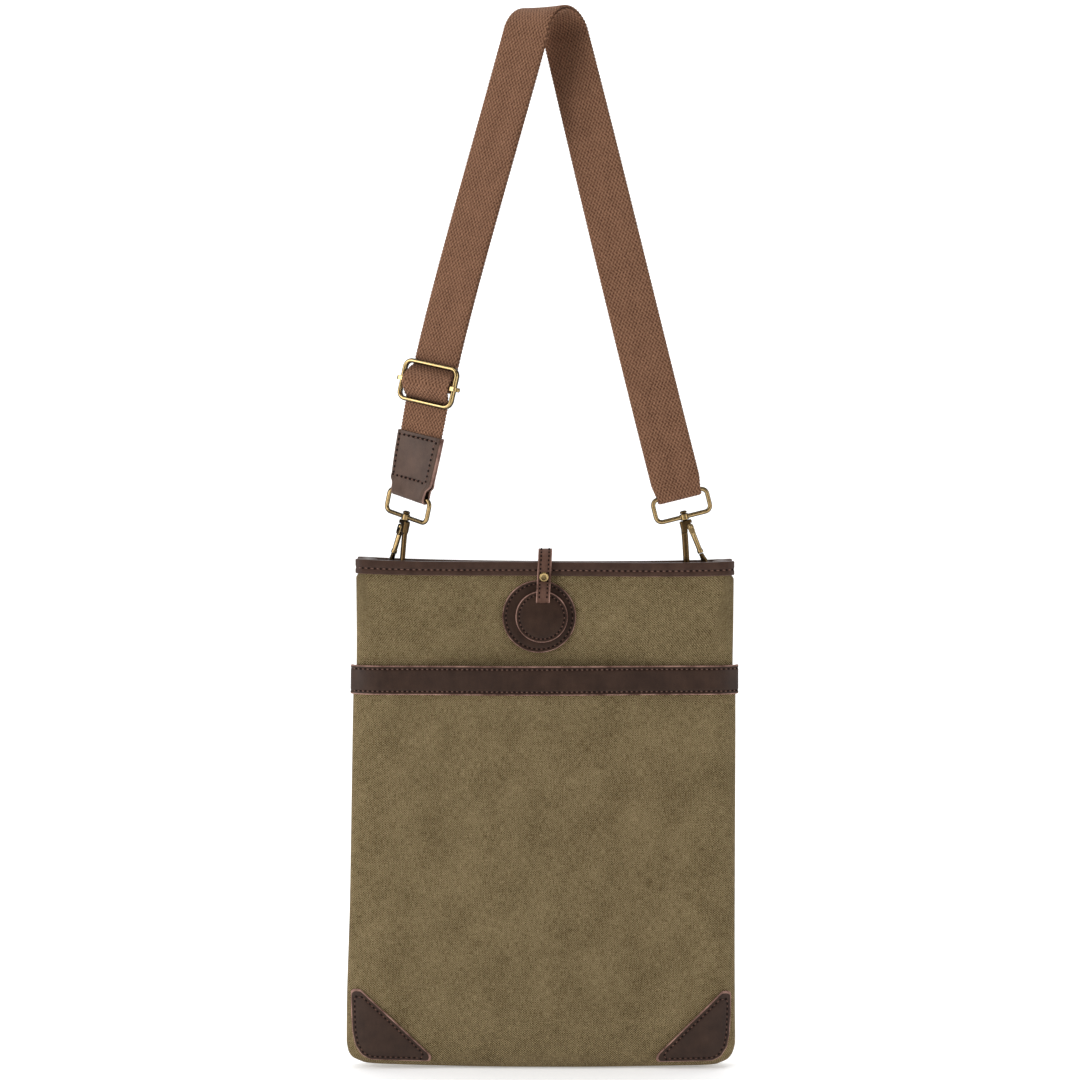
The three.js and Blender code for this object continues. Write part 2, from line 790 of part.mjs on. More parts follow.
function crownDirection(turn) {
  const direction = crownFront.clone().multiplyScalar(-Math.cos(turn) * crownRadius);
  direction.z -= Math.sin(turn) * crownRadius;
  return direction.addScaledVector(hangerAxis, slantPerRadian).normalize();
}

function legPoints(name, steps) {
  const side = sides[name];
  const frame = hardwareFrame(side);
  const turn = (side.sign * Math.PI) / 2;
  const top = crownPoint(turn).place;
  const length = top.distanceTo(frame.bar);
  const leave = crownDirection(turn).multiplyScalar(side.sign * length * side.pull);
  const arrive = frame.up.clone().multiplyScalar(-length);
  const points = [];
  for (let k = 0; k <= steps; k += 1) {
    const t = k / steps;
    const place = top.clone().multiplyScalar(2 * t ** 3 - 3 * t ** 2 + 1);
    place.addScaledVector(leave, t ** 3 - 2 * t ** 2 + t);
    place.addScaledVector(frame.bar, 3 * t ** 2 - 2 * t ** 3);
    place.addScaledVector(arrive, t ** 3 - t ** 2);
    place.x += 4 * t * (1 - t) * side.bow;
    const yaw = mix(crownYaw, side.ringYaw, readTable(yawTable[name], 'along', t).share) * DEG;
    const outward = new THREE.Vector3(Math.sin(yaw), Math.cos(yaw), 0).multiplyScalar(side.sign);
    points.push({ place, outward });
  }
  return points;
}

const legSteps = 20;
const crownSteps = 14;
const strapLine = legPoints('left', legSteps).reverse();
for (let k = 1; k < crownSteps; k += 1) {
  strapLine.push(crownPoint(mix(-90, 90, k / crownSteps) * DEG));
}
strapLine.push(...legPoints('right', legSteps));
let strapLength = 0;
strapLine.forEach((point, i) => {
  strapLength += i > 0 ? point.place.distanceTo(strapLine[i - 1].place) : 0;
  point.along = strapLength;
});
const leftUp = hardwareFrame(sides.left).up;
const rightUp = hardwareFrame(sides.right).up;
strapLine.forEach((point, i) => {
  const before = strapLine[Math.max(i - 1, 0)].place;
  const after = strapLine[Math.min(i + 1, strapLine.length - 1)].place;
  point.forward = after.clone().sub(before).normalize();
});
strapLine[0].forward = leftUp.clone();
strapLine[strapLine.length - 1].forward = rightUp.clone().negate();

// Place and directions on that line, at a distance from the left ring's top bar. Past its two
// ends the line runs straight on, so that the webbing can turn round the bars.
function strapFrame(along) {
  let i = 0;
  while (i < strapLine.length - 2 && along > strapLine[i + 1].along) {
    i += 1;
  }
  const a = strapLine[i];
  const b = strapLine[i + 1];
  const t = THREE.MathUtils.clamp((along - a.along) / (b.along - a.along), 0, 1);
  const beyond = Math.min(along, 0) + Math.max(along - strapLength, 0);
  const forward = a.forward.clone().lerp(b.forward, t).normalize();
  const outward = a.outward.clone().lerp(b.outward, t);
  outward.addScaledVector(forward, -outward.dot(forward)).normalize();
  return {
    place: a.place.clone().lerp(b.place, t).addScaledVector(forward, beyond),
    forward,
    outward,
    sideways: forward.clone().cross(outward),
  };
}

// The slider stands in front of the strap, so the webbing runs behind its outer bars and over
// its middle one
const sliderV = layerOffset + webThickness / 2 + gap + sliderDepth / 2;
const sliderBarU = sliderHeight / 2 - sliderWire / 2;
const barBackV = sliderV - sliderDepth / 2 + sliderWire / 2;
const overBack = sliderWire / 2 + gap + bendEase + webThickness / 2;
const overBar = sliderBarRadius + gap + bendEase + webThickness / 2;
const overLoop = overBar + webThickness + gap;
const easeBack = 12;
const ringTurn = ringWireRadius + gap + bendEase + webThickness / 2;
const ringEase = 14;

// How far round its middle bar the webbing turns, in degrees
const barWrap = 205;
const webRows = [
  { u: strapEndLength - webTuck, v: 0, radius: 0 },
  { u: strapEndLength + 3, v: 0, radius: 0 },
  { u: sliderRise - sliderBarU, v: barBackV, radius: overBack },
  { u: sliderRise, v: sliderV, radius: -overLoop },
  { u: sliderRise + sliderBarU, v: barBackV, radius: overBack },
  { u: sliderRise + sliderBarU + easeBack, v: layerOffset, radius: 0 },
  { u: strapLength - ringEase, v: layerOffset, radius: 0 },
  { u: strapLength, v: 0, radius: -ringTurn },
  { u: strapLength - ringEase, v: -layerOffset, radius: 0 },
  { u: sliderRise + sliderBarU + easeBack, v: -layerOffset, radius: 0 },
  { u: sliderRise + sliderBarU, v: barBackV, radius: -overBack - webThickness - gap },
  { u: sliderRise, v: sliderV, radius: -overBar, turn: -barWrap },
];

// Long straight rows get more stations: the strap bends over its crown and twists in the
// leather end, so there they stand close together
const closeSetShare = 0.62;
const crownMiddle = (strapLine[legSteps].along + strapLine[legSteps + crownSteps].along) / 2;
const crownReach = Math.PI * crownRadius * closeSetShare;
const crownStep = 3.6;
const legStep = 14;
const isCloseSet = (u) => Math.abs(u - crownMiddle) < crownReach || u < strapEndLength + crownStep;

function refined(path) {
  const finer = [path[0]];
  for (let i = 1; i < path.length; i += 1) {
    const a = path[i - 1];
    const b = path[i];
    const angle = Math.atan2(b.v - a.v, b.u - a.u);
    const direction = Math.sign(b.u - a.u);
    let next = a.u;
    let waiting = 0;
    while ((b.u - next) * direction > crownStep * 1.5) {
      next += direction * crownStep;
      waiting += crownStep;
      if (isCloseSet(next) || isCloseSet(next + direction * crownStep) || waiting > legStep) {
        const v = mix(a.v, b.v, (next - a.u) / (b.u - a.u));
        finer.push({ u: next, v, angle, stretch: 1 });
        waiting = 0;
      }
    }
    finer.push(b);
  }
  return finer;
}

const webWidthAt = (u) => {
  const share = THREE.MathUtils.clamp((strapLength - u) / webLoopTaper, 0, 1);
  return mix(webLoopWidth, webWidth, share);
};
const webPath = refined(beltPath(webRows, 26));
addPiece('strap_webbing', bandAlong(webPath, strapFrame, webWidthAt, webThickness), 'webbing');

// The leather end: folded round the left ring's top bar, with the webbing sewn in between
const plyOffset = webThickness / 2 + gap + leatherThickness / 2;
const shoulderTop = 12;
const shoulderLow = 4.5;
const endTurn = ringWireRadius + gap + bendEase + leatherThickness / 2;
const endWidths = [
  { u: 0, width: strapEndFold },
  { u: shoulderLow, width: strapEndNeck },
  { u: shoulderTop, width: strapEndWidth },
  { u: strapEndLength, width: strapEndWidth },
];
const shoulderShare = 0.35;
const shoulderV = mix(endTurn, plyOffset, shoulderShare);
const endRows = [
  { u: strapEndLength, v: plyOffset, radius: 0 },
  { u: shoulderTop, v: plyOffset, radius: 0 },
  { u: shoulderLow, v: shoulderV, radius: 0 },
  { u: 0, v: 0, radius: endTurn },
  { u: shoulderLow, v: -shoulderV, radius: 0 },
  { u: shoulderTop, v: -plyOffset, radius: 0 },
  { u: strapEndLength, v: -plyOffset, radius: 0 },
];
const endWidthAt = (u) => readTable(endWidths, 'u', u).width;
const endPath = refined(beltPath(endRows, 26));
addPiece(
  'strap_end_leather',
  bandAlong(endPath, strapFrame, endWidthAt, leatherThickness),
  'leather',
);

// The slider: a wire frame, and a middle bar whose collars ride on its side wires
const sliderFrame = strapFrame(sliderRise);
const sliderBack = sliderFrame.outward.clone().negate();
const sliderPlace = new THREE.Matrix4().makeBasis(sliderFrame.sideways, sliderBack, sliderFrame.forward);
sliderPlace.setPosition(sliderFrame.place.clone().addScaledVector(sliderFrame.outward, sliderV));
const frameLoop = roundedLoop(
  sliderWidth - sliderWire,
  sliderHeight - sliderWire,
  sliderCorner - sliderWire / 2,
  3,
);
const evenOut = Math.sqrt((Math.PI / 4) / Math.sin(Math.PI / 4));
const frameSize = { across: (sliderWire / 2) * evenOut, deep: (sliderDepth / 2) * evenOut };
const frameRings = wireRings(frameLoop, yAxis, true, () => frameSize);
addPiece('slider_frame', loft(frameRings, true).applyMatrix4(sliderPlace), 'brass');

const sideWireX = (sliderWidth - sliderWire) / 2;
const collarBox = (grown, height) => new THREE.BoxGeometry(
  sliderWire + 2 * grown,
  sliderDepth + 2 * grown,
  height,
);
const middleBar = new THREE.CylinderGeometry(
  sliderBarRadius,
  sliderBarRadius,
  2 * sideWireX - sliderWire - 2 * gap,
  12,
).rotateZ(Math.PI / 2);
const barParts = [middleBar];
for (const sign of [-1, 1]) {
  barParts.push(collarBox(gap + collarWall, collarHeight).translate(sign * sideWireX, 0, 0));
  const knob = new THREE.SphereGeometry(collarKnob, 10, 8);
  knob.translate(sign * (sideWireX + sliderWire / 2 + gap + collarWall), 0, 0);
  barParts.push(knob);
}
let sliderBar = joinAll(barParts);
for (const sign of [-1, 1]) {
  const bore = collarBox(gap, 2 * collarHeight).translate(sign * sideWireX, 0, 0);
  sliderBar = sliderBar.subtract(toSolid(bore));
}
addPiece('slider_bar', fromSolid(sliderBar).applyMatrix4(sliderPlace), 'brass');

// A ring: a wire loop whose lower bar carries a bored boss for the swivel
const bossDown = -ringHeight;
const boreRadius = postRadius + postClearance;

function ringShape() {
  const loop = roundedLoop(ringWidth - 2 * ringWireRadius, ringHeight, ringCorner);
  loop.forEach((p) => { p.z -= ringHeight / 2; });
  const size = { across: ringWireRadius * evenOut, deep: ringWireRadius * evenOut };
  const wire = loft(wireRings(loop, yAxis, true, () => size), true);
  const boss = cylinder(bossRadius, bossHeight).translate(0, 0, bossDown);
  const bore = cylinder(boreRadius, 2 * bossHeight).translate(0, 0, bossDown);
  return fromSolid(joinAll([wire, boss]).subtract(toSolid(bore)));
}

// A hook, about the middle of its ring's boss: post and head, block, spine, eye and nose in one
const blockTop = -bossHeight / 2 - gap;
const blockLow = blockTop - blockHeight;
const gateAxis = new THREE.Vector3(Math.sin(gateLean * DEG), 0, -Math.cos(gateLean * DEG));
const gatePivot = new THREE.Vector3(gatePivotAcross, 0, -gatePivotDrop);
const gateEnd = gatePivot.clone().addScaledVector(gateAxis, gateLength);
const noseStart = gateEnd.clone().addScaledVector(gateAxis, gap);

function hookLine() {
  const points = [new THREE.Vector3(-spineTop, 0, blockLow + 2 * castOverlap)];
  const centre = new THREE.Vector3(0, 0, -eyeDrop);
  const start = 180 - gateLean;
  const end = 360 + gateLean;
  const steps = 12;
  for (let k = 0; k <= steps; k += 1) {
    const angle = mix(start, end, k / steps) * DEG;
    const reach = new THREE.Vector3(Math.cos(angle), 0, Math.sin(angle)).multiplyScalar(eyeRadius);
    points.push(centre.clone().add(reach));
  }
  points.push(noseStart.clone().addScaledVector(gateAxis, 1.5));
  points.push(noseStart.clone());
  return points;
}

// Right of the spine the block thins to a tongue, which the gate's two cheeks straddle
function hookShape() {
  const line = hookLine();
  const last = line.length - 1;
  const sizeAt = (i) => {
    const share = THREE.MathUtils.clamp((i - last + 4) / 4, 0, 1);
    return { across: mix(spineAcross, noseRadius, share), deep: spineDeep };
  };
  const plan = roundedLoop(blockWidth, blockDepth, blockCorner, 2);
  const blockAt = (z) => plan.map((p) => new THREE.Vector3(p.x, p.z, z));
  const cheekLeft = gatePivotAcross - gateRootRadius - gap;
  const cheekTop = -gatePivotDrop + gateRootRadius + gap;
  const aboveCheeks = new THREE.BoxGeometry(4 * blockWidth, blockWidth, blockHeight);
  aboveCheeks.translate(0, 0, cheekTop + blockHeight / 2);
  const leftOfCheeks = new THREE.BoxGeometry(blockWidth, blockWidth, 4 * blockHeight);
  leftOfCheeks.translate(cheekLeft - blockWidth / 2, 0, 0);
  const web = new THREE.BoxGeometry(blockWidth, tongueThickness, gateRootRadius * 1.5);
  web.translate(gatePivotAcross - blockWidth / 2, 0, -gatePivotDrop + gateRootRadius * 0.25);
  const disc = crossPin(gateRootRadius, tongueThickness, 14);
  const bore = crossPin(pinRadius + pinClearance, 4 * gateRadius, 12);
  const tongue = joinAll([disc, web.translate(-gatePivotAcross, 0, gatePivotDrop)]);
  const keep = joinAll([aboveCheeks, leftOfCheeks]);
  const block = toSolid(loft([blockAt(blockTop), blockAt(blockLow)])).intersect(keep);
  const placedTongue = tongue.translate([gatePivotAcross, 0, -gatePivotDrop]);
  const spine = loft(wireRings(line, yAxis, false, sizeAt));
  const post = cylinder(postRadius, bossHeight + 2 * (gap + castOverlap), 12);
  const head = cylinder(headRadius, headHeight, 12);
  head.translate(0, 0, bossHeight / 2 + gap + headHeight / 2);
  const placedBore = toSolid(bore.translate(gatePivotAcross, 0, -gatePivotDrop));
  const whole = joinAll([post, head, spine]).add(block).add(placedTongue);
  return fromSolid(whole.subtract(placedBore));
}

function gateShape() {
  const rod = cylinder(gateRadius, gateLength, 12).translate(0, 0, -gateLength / 2);
  const root = crossPin(gateRootRadius, 2 * gateRadius, 14);
  const slot = crossPin(gateRootRadius + gap, tongueThickness + 2 * gap, 16);
  const pin = crossPin(pinRadius, 2 * gateRadius - gap, 12);
  const solid = joinAll([rod, root]).subtract(toSolid(slot)).add(toSolid(pin));
  return fromSolid(solid).rotateY(-gateLean * DEG).translate(gatePivot.x, 0, gatePivot.z);
}

// A D-ring about the middle of its round top, with its straight bar below
function dringShape() {
  const width = dringWidth - 2 * dringWireRadius;
  const radius = width / 2;
  const points = [];
  const arcSteps = 8;
  for (let k = 0; k <= arcSteps; k += 1) {
    const angle = (k / arcSteps) * Math.PI;
    points.push(new THREE.Vector3(0, radius * Math.cos(angle), radius * (Math.sin(angle) - 1)));
  }
  for (const sign of [-1, 1]) {
    const start = sign < 0 ? 180 : 270;
    for (let k = 0; k <= 2; k += 1) {
      const angle = (start + 45 * k) * DEG;
      const y = sign * (radius - dringCorner) + dringCorner * Math.cos(angle);
      const z = -dringHeight + dringCorner + dringCorner * Math.sin(angle);
      points.push(new THREE.Vector3(0, y, z));
    }
  }
  const size = { across: dringWireRadius * evenOut, deep: dringWireRadius * evenOut };
  return loft(wireRings(points, xAxis, true, () => size), true);
}

function mirrored(geometry, sign) {
  if (sign > 0) {
    return geometry;
  }
  const flipped = geometry.clone().applyMatrix4(new THREE.Matrix4().makeScale(-1, 1, 1));
  return faceOut(Array.from(flipped.attributes.position.array), Array.from(flipped.index.array));
}

// A D-ring's tab: leather sewn to the side fold, up round the D-ring's bar and back down
function dringTab(side, barPlace) {
  const wallAt = (z) => {
    const section = shell(sectionAt(z), -canvasWall);
    return (side.sign < 0 ? section.left : section.right) - section.fold;
  };
  const sewnTop = barPlace.z - dringTabFree;
  const sewnLow = sewnTop - dringTabSewn;
  const half = dringTabPly / 2;
  const barX = Math.abs(barPlace.x);
  const atWall = (z) => wallAt(z) - gap - barX - half;
  const turn = dringWireRadius + gap + bendEase + half;
  const behind = dringTabPly + gap;
  const rows = [
    { u: atWall(sewnLow), v: sewnLow - barPlace.z, radius: 0 },
    { u: atWall(sewnTop), v: sewnTop - barPlace.z, radius: 0 },
    { u: 0, v: 0, radius: turn },
    { u: atWall(sewnTop) - behind, v: sewnTop - barPlace.z, radius: 0 },
    { u: atWall(sewnLow) - behind, v: sewnLow - barPlace.z, radius: 0 },
  ];
  const rings = beltPath(rows).map((station) => {
    const nx = -Math.sin(station.angle) * half * station.stretch;
    const nz = Math.cos(station.angle) * half * station.stretch;
    const sewn = THREE.MathUtils.clamp(station.v / (sewnTop - barPlace.z), 0, 1);
    const yaw = -side.dringYaw * DEG * (1 - sewn);
    return [[-1, -1], [1, -1], [1, 1], [-1, 1]].map(([across, thick]) => new THREE.Vector3(
      side.sign * (station.u + thick * nx),
      (across * dringTabWidth) / 2,
      station.v + thick * nz,
    ).applyAxisAngle(zAxis, yaw).add(barPlace).addScaledVector(yAxis, -barPlace.y * sewn));
  });
  return loft(rings);
}

for (const [name, side] of Object.entries(sides)) {
  const frame = hardwareFrame(side);
  const ringPlace = turnedBasis(frame.up, side.ringYaw, frame.bar);
  const hookPlace = turnedBasis(frame.up, side.hookYaw, frame.boss);
  const dringTop = frame.wire.clone().addScaledVector(frame.up, side.slack);
  const dringPlace = turnedBasis(frame.up, side.dringYaw, dringTop);
  addPiece(`${name}_ring`, ringShape().applyMatrix4(ringPlace), 'brass');
  addPiece(`${name}_hook`, mirrored(hookShape(), side.sign).applyMatrix4(hookPlace), 'brass');
  addPiece(`${name}_gate`, mirrored(gateShape(), side.sign).applyMatrix4(hookPlace), 'brass');
  addPiece(`${name}_dring`, dringShape().applyMatrix4(dringPlace), 'brass');
  const barPlace = new THREE.Vector3(0, 0, -dringHeight).applyMatrix4(dringPlace);
  addPiece(`${name}_dring_tab`, dringTab(side, barPlace), 'leather');
}

export default pouch;
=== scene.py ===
import math

import bmesh
import bpy
import numpy as np
from mathutils import Matrix, Vector, noise


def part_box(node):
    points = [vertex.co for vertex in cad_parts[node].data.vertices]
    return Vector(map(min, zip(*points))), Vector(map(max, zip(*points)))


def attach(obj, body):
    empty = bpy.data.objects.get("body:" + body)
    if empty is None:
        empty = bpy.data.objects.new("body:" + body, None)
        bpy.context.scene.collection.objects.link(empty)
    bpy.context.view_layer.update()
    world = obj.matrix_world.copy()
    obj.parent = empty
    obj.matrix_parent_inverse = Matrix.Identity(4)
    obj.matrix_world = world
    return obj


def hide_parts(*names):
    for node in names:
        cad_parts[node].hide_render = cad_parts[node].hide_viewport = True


# A flat canvas pouch with a slip pocket, leather trim and an adjustable webbing strap, hung by
# the crown of its strap. Metres, +Z up, front towards -Y, origin under the crown.
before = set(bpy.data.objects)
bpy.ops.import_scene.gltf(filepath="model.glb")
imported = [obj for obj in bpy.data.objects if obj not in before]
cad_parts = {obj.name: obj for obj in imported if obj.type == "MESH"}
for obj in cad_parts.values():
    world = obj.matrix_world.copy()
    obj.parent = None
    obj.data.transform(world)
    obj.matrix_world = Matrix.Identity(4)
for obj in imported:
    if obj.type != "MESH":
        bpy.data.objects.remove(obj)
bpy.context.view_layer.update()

# The studio: a white sweep under and behind the pouch, a broad soft light from the front left,
# a weaker one from the right, one above, and the camera at the height of the strap's lower half.
MM = 0.001
floor_gap = 0.8 * MM
floor_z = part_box("canvas_body")[0].z - floor_gap


def put(name, data):
    """A new object in the scene."""
    made = bpy.data.objects.new(name, data)
    bpy.context.scene.collection.objects.link(made)
    return made


sweep_half, sweep_front, sweep_back, sweep_bend, sweep_top = 6.0, -6.0, 1.1, 0.5, 1.5
sweep_line = [(sweep_front, floor_z)]
for step in range(13):
    angle = math.pi / 2 * step / 12
    sweep_line.append((
        sweep_back + sweep_bend * math.sin(angle),
        floor_z + sweep_bend * (1 - math.cos(angle)),
    ))
sweep_line.append((sweep_back + sweep_bend, sweep_top))
sweep_mesh = bpy.data.meshes.new("studio_sweep")
sweep_mesh.from_pydata(
    [(x, y, z) for y, z in sweep_line for x in (-sweep_half, sweep_half)],
    [],
    [(2 * i, 2 * i + 1, 2 * i + 3, 2 * i + 2) for i in range(len(sweep_line) - 1)],
)
sweep_mesh.polygons.foreach_set("use_smooth", [True] * len(sweep_mesh.polygons))
sweep = put("studio_sweep", sweep_mesh)
paper = bpy.data.materials.new("white_paper")
paper.use_nodes = True
paper_shader = paper.node_tree.nodes["Principled BSDF"]
paper_shader.inputs["Base Color"].default_value = (0.94, 0.94, 0.94, 1)
paper_shader.inputs["Roughness"].default_value = 0.9
paper_shader.inputs["Specular IOR Level"].default_value = 0.1
paper_shader.inputs["Emission Color"].default_value = (1, 1, 1, 1)
paper_shader.inputs["Emission Strength"].default_value = 0.3
sweep_mesh.materials.append(paper)


def soft_light(name, place, target, size, watts):
    lamp = bpy.data.lights.new(name, "AREA")
    lamp.shape = "RECTANGLE"
    lamp.size, lamp.size_y = size
    lamp.energy = watts
    holder = put(name, lamp)
    holder.location = place
    aim = Vector(target) - Vector(place)
    holder.rotation_euler = aim.to_track_quat("-Z", "Y").to_euler()


bpy.context.scene.view_settings.view_transform = "Standard"
middle = (0, 0, -0.35)
soft_light("key_light", (-1.2, -0.65, 0.05), middle, (0.8, 1.5), 15)
soft_light("fill_light", (1.5, -0.7, -0.1), middle, (0.8, 1.4), 10)
soft_light("top_light", (0.1, -0.5, 1.5), middle, (1.8, 1.2), 9)
soft_light("sweep_light", (0, 0.3, 1.6), (0, 1.3, -0.4), (2.6, 0.6), 26)
world = bpy.data.worlds.new("studio_air")
world.use_nodes = True
world.node_tree.nodes["Background"].inputs["Color"].default_value = (1, 1, 1, 1)
world.node_tree.nodes["Background"].inputs["Strength"].default_value = 0.1
bpy.context.scene.world = world

camera_data = bpy.data.cameras.new("photo_camera")
camera_data.sensor_width = 36
camera_data.lens = 83.97
camera = put("photo_camera", camera_data)
camera.location = (-0.0019, -1.6, -0.231)
camera_tilt = math.radians(3.6)
camera.rotation_euler = (math.pi / 2 - camera_tilt, 0, 0)
bpy.context.scene.camera = camera


# The canvas body: one front and one back of washed olive canvas, sewn together at the sides,
# where the mouth folds inwards. It is an open bag with its wall all round.
rim_z = -344 * MM
pouch_height = 326.3 * MM
half_width = 121 * MM
pouch_depth = 26 * MM
canvas_wall = 1.6 * MM
clearance = 0.3 * MM
lift_fade = 60 * MM
mouth_sag, mouth_tilt = 1.25 * MM, 0.8 * MM
corner_lift = 1.8 * MM
foot_lift = {"left": 2.6 * MM, "right": 1.5 * MM}
bottom_z = rim_z - pouch_height

# Sections of the pouch down its height. left, right and corner are shares of its half width,
# the depths of front, back, seam and fold are shares of its whole depth.
section_names = (
    "left", "right", "corner", "front_mid", "front_end", "back_mid", "back_end", "seam", "fold",
)
section_rows = [
    (0.000, 0.963, 0.983, 0.03, 0.17, 0.44, 0.14, 0.44, 0.38, 0.27),
    (0.024, 0.963, 0.983, 0.03, 0.17, 0.44, 0.14, 0.44, 0.38, 0.27),
    (0.036, 0.978, 0.999, 0.05, 0.18, 0.44, 0.17, 0.44, 0.36, 0.26),
    (0.120, 0.978, 0.999, 0.09, 0.25, 0.43, 0.29, 0.43, 0.27, 0.20),
    (0.190, 0.980, 0.998, 0.15, 0.30, 0.41, 0.41, 0.41, 0.20, 0.12),
    (0.340, 0.989, 1.000, 0.19, 0.35, 0.39, 0.50, 0.40, 0.16, 0.00),
    (0.680, 1.008, 1.001, 0.19, 0.36, 0.38, 0.50, 0.40, 0.16, 0.00),
    (0.880, 1.026, 1.004, 0.18, 0.38, 0.36, 0.46, 0.38, 0.16, 0.00),
    (0.955, 1.028, 1.006, 0.17, 0.36, 0.33, 0.40, 0.34, 0.15, 0.00),
    (0.976, 1.020, 0.994, 0.16, 0.33, 0.29, 0.36, 0.30, 0.13, 0.00),
    (0.990, 0.998, 0.970, 0.13, 0.27, 0.24, 0.30, 0.25, 0.11, 0.00),
    (1.000, 0.945, 0.918, 0.10, 0.18, 0.16, 0.20, 0.17, 0.08, 0.00),
]


def smooth_table(rows):
    """Reads rows against their first number, along smooth curves that never overshoot."""
    table = np.array(rows, float)
    keys, values = table[:, 0], table[:, 1:]
    steps = np.diff(keys)[:, None]
    slopes = np.diff(values, axis=0) / steps
    tangents = np.vstack([slopes[:1], np.zeros_like(slopes[1:]), slopes[-1:]])
    product = slopes[1:] * slopes[:-1]
    total = np.where(product > 0, slopes[1:] + slopes[:-1], 1)
    tangents[1:-1] = np.where(product > 0, 2 * product / total, 0)

    def read(key):
        key = min(max(key, keys[0]), keys[-1])
        i = min(int(np.searchsorted(keys, key, side="right")) - 1, len(keys) - 2)
        h = steps[i, 0]
        t = (key - keys[i]) / h
        low = (2 * t**3 - 3 * t**2 + 1) * values[i] + (t**3 - 2 * t**2 + t) * h * tangents[i]
        high = (3 * t**2 - 2 * t**3) * values[i + 1] + (t**3 - t**2) * h * tangents[i + 1]
        return low + high

    return read


read_section = smooth_table(section_rows)


def section_at(z):
    read = dict(zip(section_names, read_section((rim_z - z) / pouch_height)))
    found = {key: value * (half_width if key in ("left", "right", "corner") else pouch_depth)
             for key, value in read.items()}
    return {**found, "z": z}


def shell(section, out):
    """The section of a wall's other face, moved out all round and in the side folds."""
    inwards = min(out, 0)
    slope = section["fold"] / section["seam"]
    tip = out * math.hypot(1, slope) + inwards * slope
    moved = {key: section[key] + out for key in ("front_mid", "front_end", "back_mid", "back_end")}
    return {
        **section,
        **moved,
        "left": section["left"] + tip,
        "right": section["right"] + tip,
        "corner": max(0.4 * MM, section["corner"] + out),
        "seam": max(0.4 * MM, section["seam"] + inwards),
        "fold": section["fold"] + inwards * slope,
    }


ripple_height = 0.45 * MM
ripple_length = 46 * MM


def on_pouch(x, depth, z, direction):
    """The point of a face that stands depth out from the pouch's middle plane, with the cloth's
    soft unevenness, a mouth that sags between its corners and feet a little off the ground."""
    share = min(1, abs(x) / half_width)
    near_mouth = min(max(1 - (rim_z - z) / lift_fade, 0), 1)
    near_foot = min(max(1 - (z - bottom_z) / lift_fade, 0), 1)
    rise = near_mouth * (corner_lift * share**4 - mouth_sag - mouth_tilt * x / half_width)
    rise += near_foot * foot_lift["left" if x < 0 else "right"] * share**2
    where = Vector((x / ripple_length, direction * 5.3, z / (1.6 * ripple_length)))
    ripple = ripple_height * noise.noise(where) * (1 - share**8)
    return (x, direction * (depth + ripple), z + rise)


def depth_at(section, side, x):
    """How far the front or back stands out from the middle plane at x."""
    half = section["left"] if x < 0 else section["right"]
    flat = half - section["corner"]
    mid, end, seam = section[side + "_mid"], section[side + "_end"], section["seam"]
    if abs(x) > flat:
        past = min((abs(x) - flat) / section["corner"], 1)
        return seam + (end - seam) * math.sqrt(1 - past**2)
    return end + (mid - end) * 0.5 * (1 + math.cos(math.pi * abs(x) / flat))


corner_angles = np.radians(np.arange(0, 90, 4.5))
flat_shares = np.linspace(-1, 1, 73)


def half_outline(section, side):
    """Points from the left seam round two corners to the right seam, on the front or back."""
    direction = -1 if side == "front" else 1
    left_flat = section["left"] - section["corner"]
    right_flat = section["right"] - section["corner"]
    across = [-left_flat - section["corner"] * math.cos(a) for a in corner_angles]
    across += [t * (left_flat if t < 0 else right_flat) for t in flat_shares]
    across += [right_flat + section["corner"] * math.cos(a) for a in corner_angles[::-1]]
    return [on_pouch(x, depth_at(section, side, x), section["z"], direction) for x in across]


fold_shares = (0.25, 0.5, 0.75)


def whole_outline(section):
    """A closed outline: the front, the right fold, the back and the left fold."""
    front = half_outline(section, "front")
    back = half_outline(section, "back")[::-1]
    right_fold = on_pouch(section["right"] - section["fold"], 0, section["z"], 1)
    left_fold = on_pouch(section["fold"] - section["left"], 0, section["z"], 1)

    def between(a, b):
        return [tuple(np.array(a) + (np.array(b) - np.array(a)) * t) for t in fold_shares]

    return [
        *front, *between(front[-1], right_fold), right_fold, *between(right_fold, back[0]),
        *back, *between(back[-1], left_fold), left_fold, *between(left_fold, front[0]),
    ]


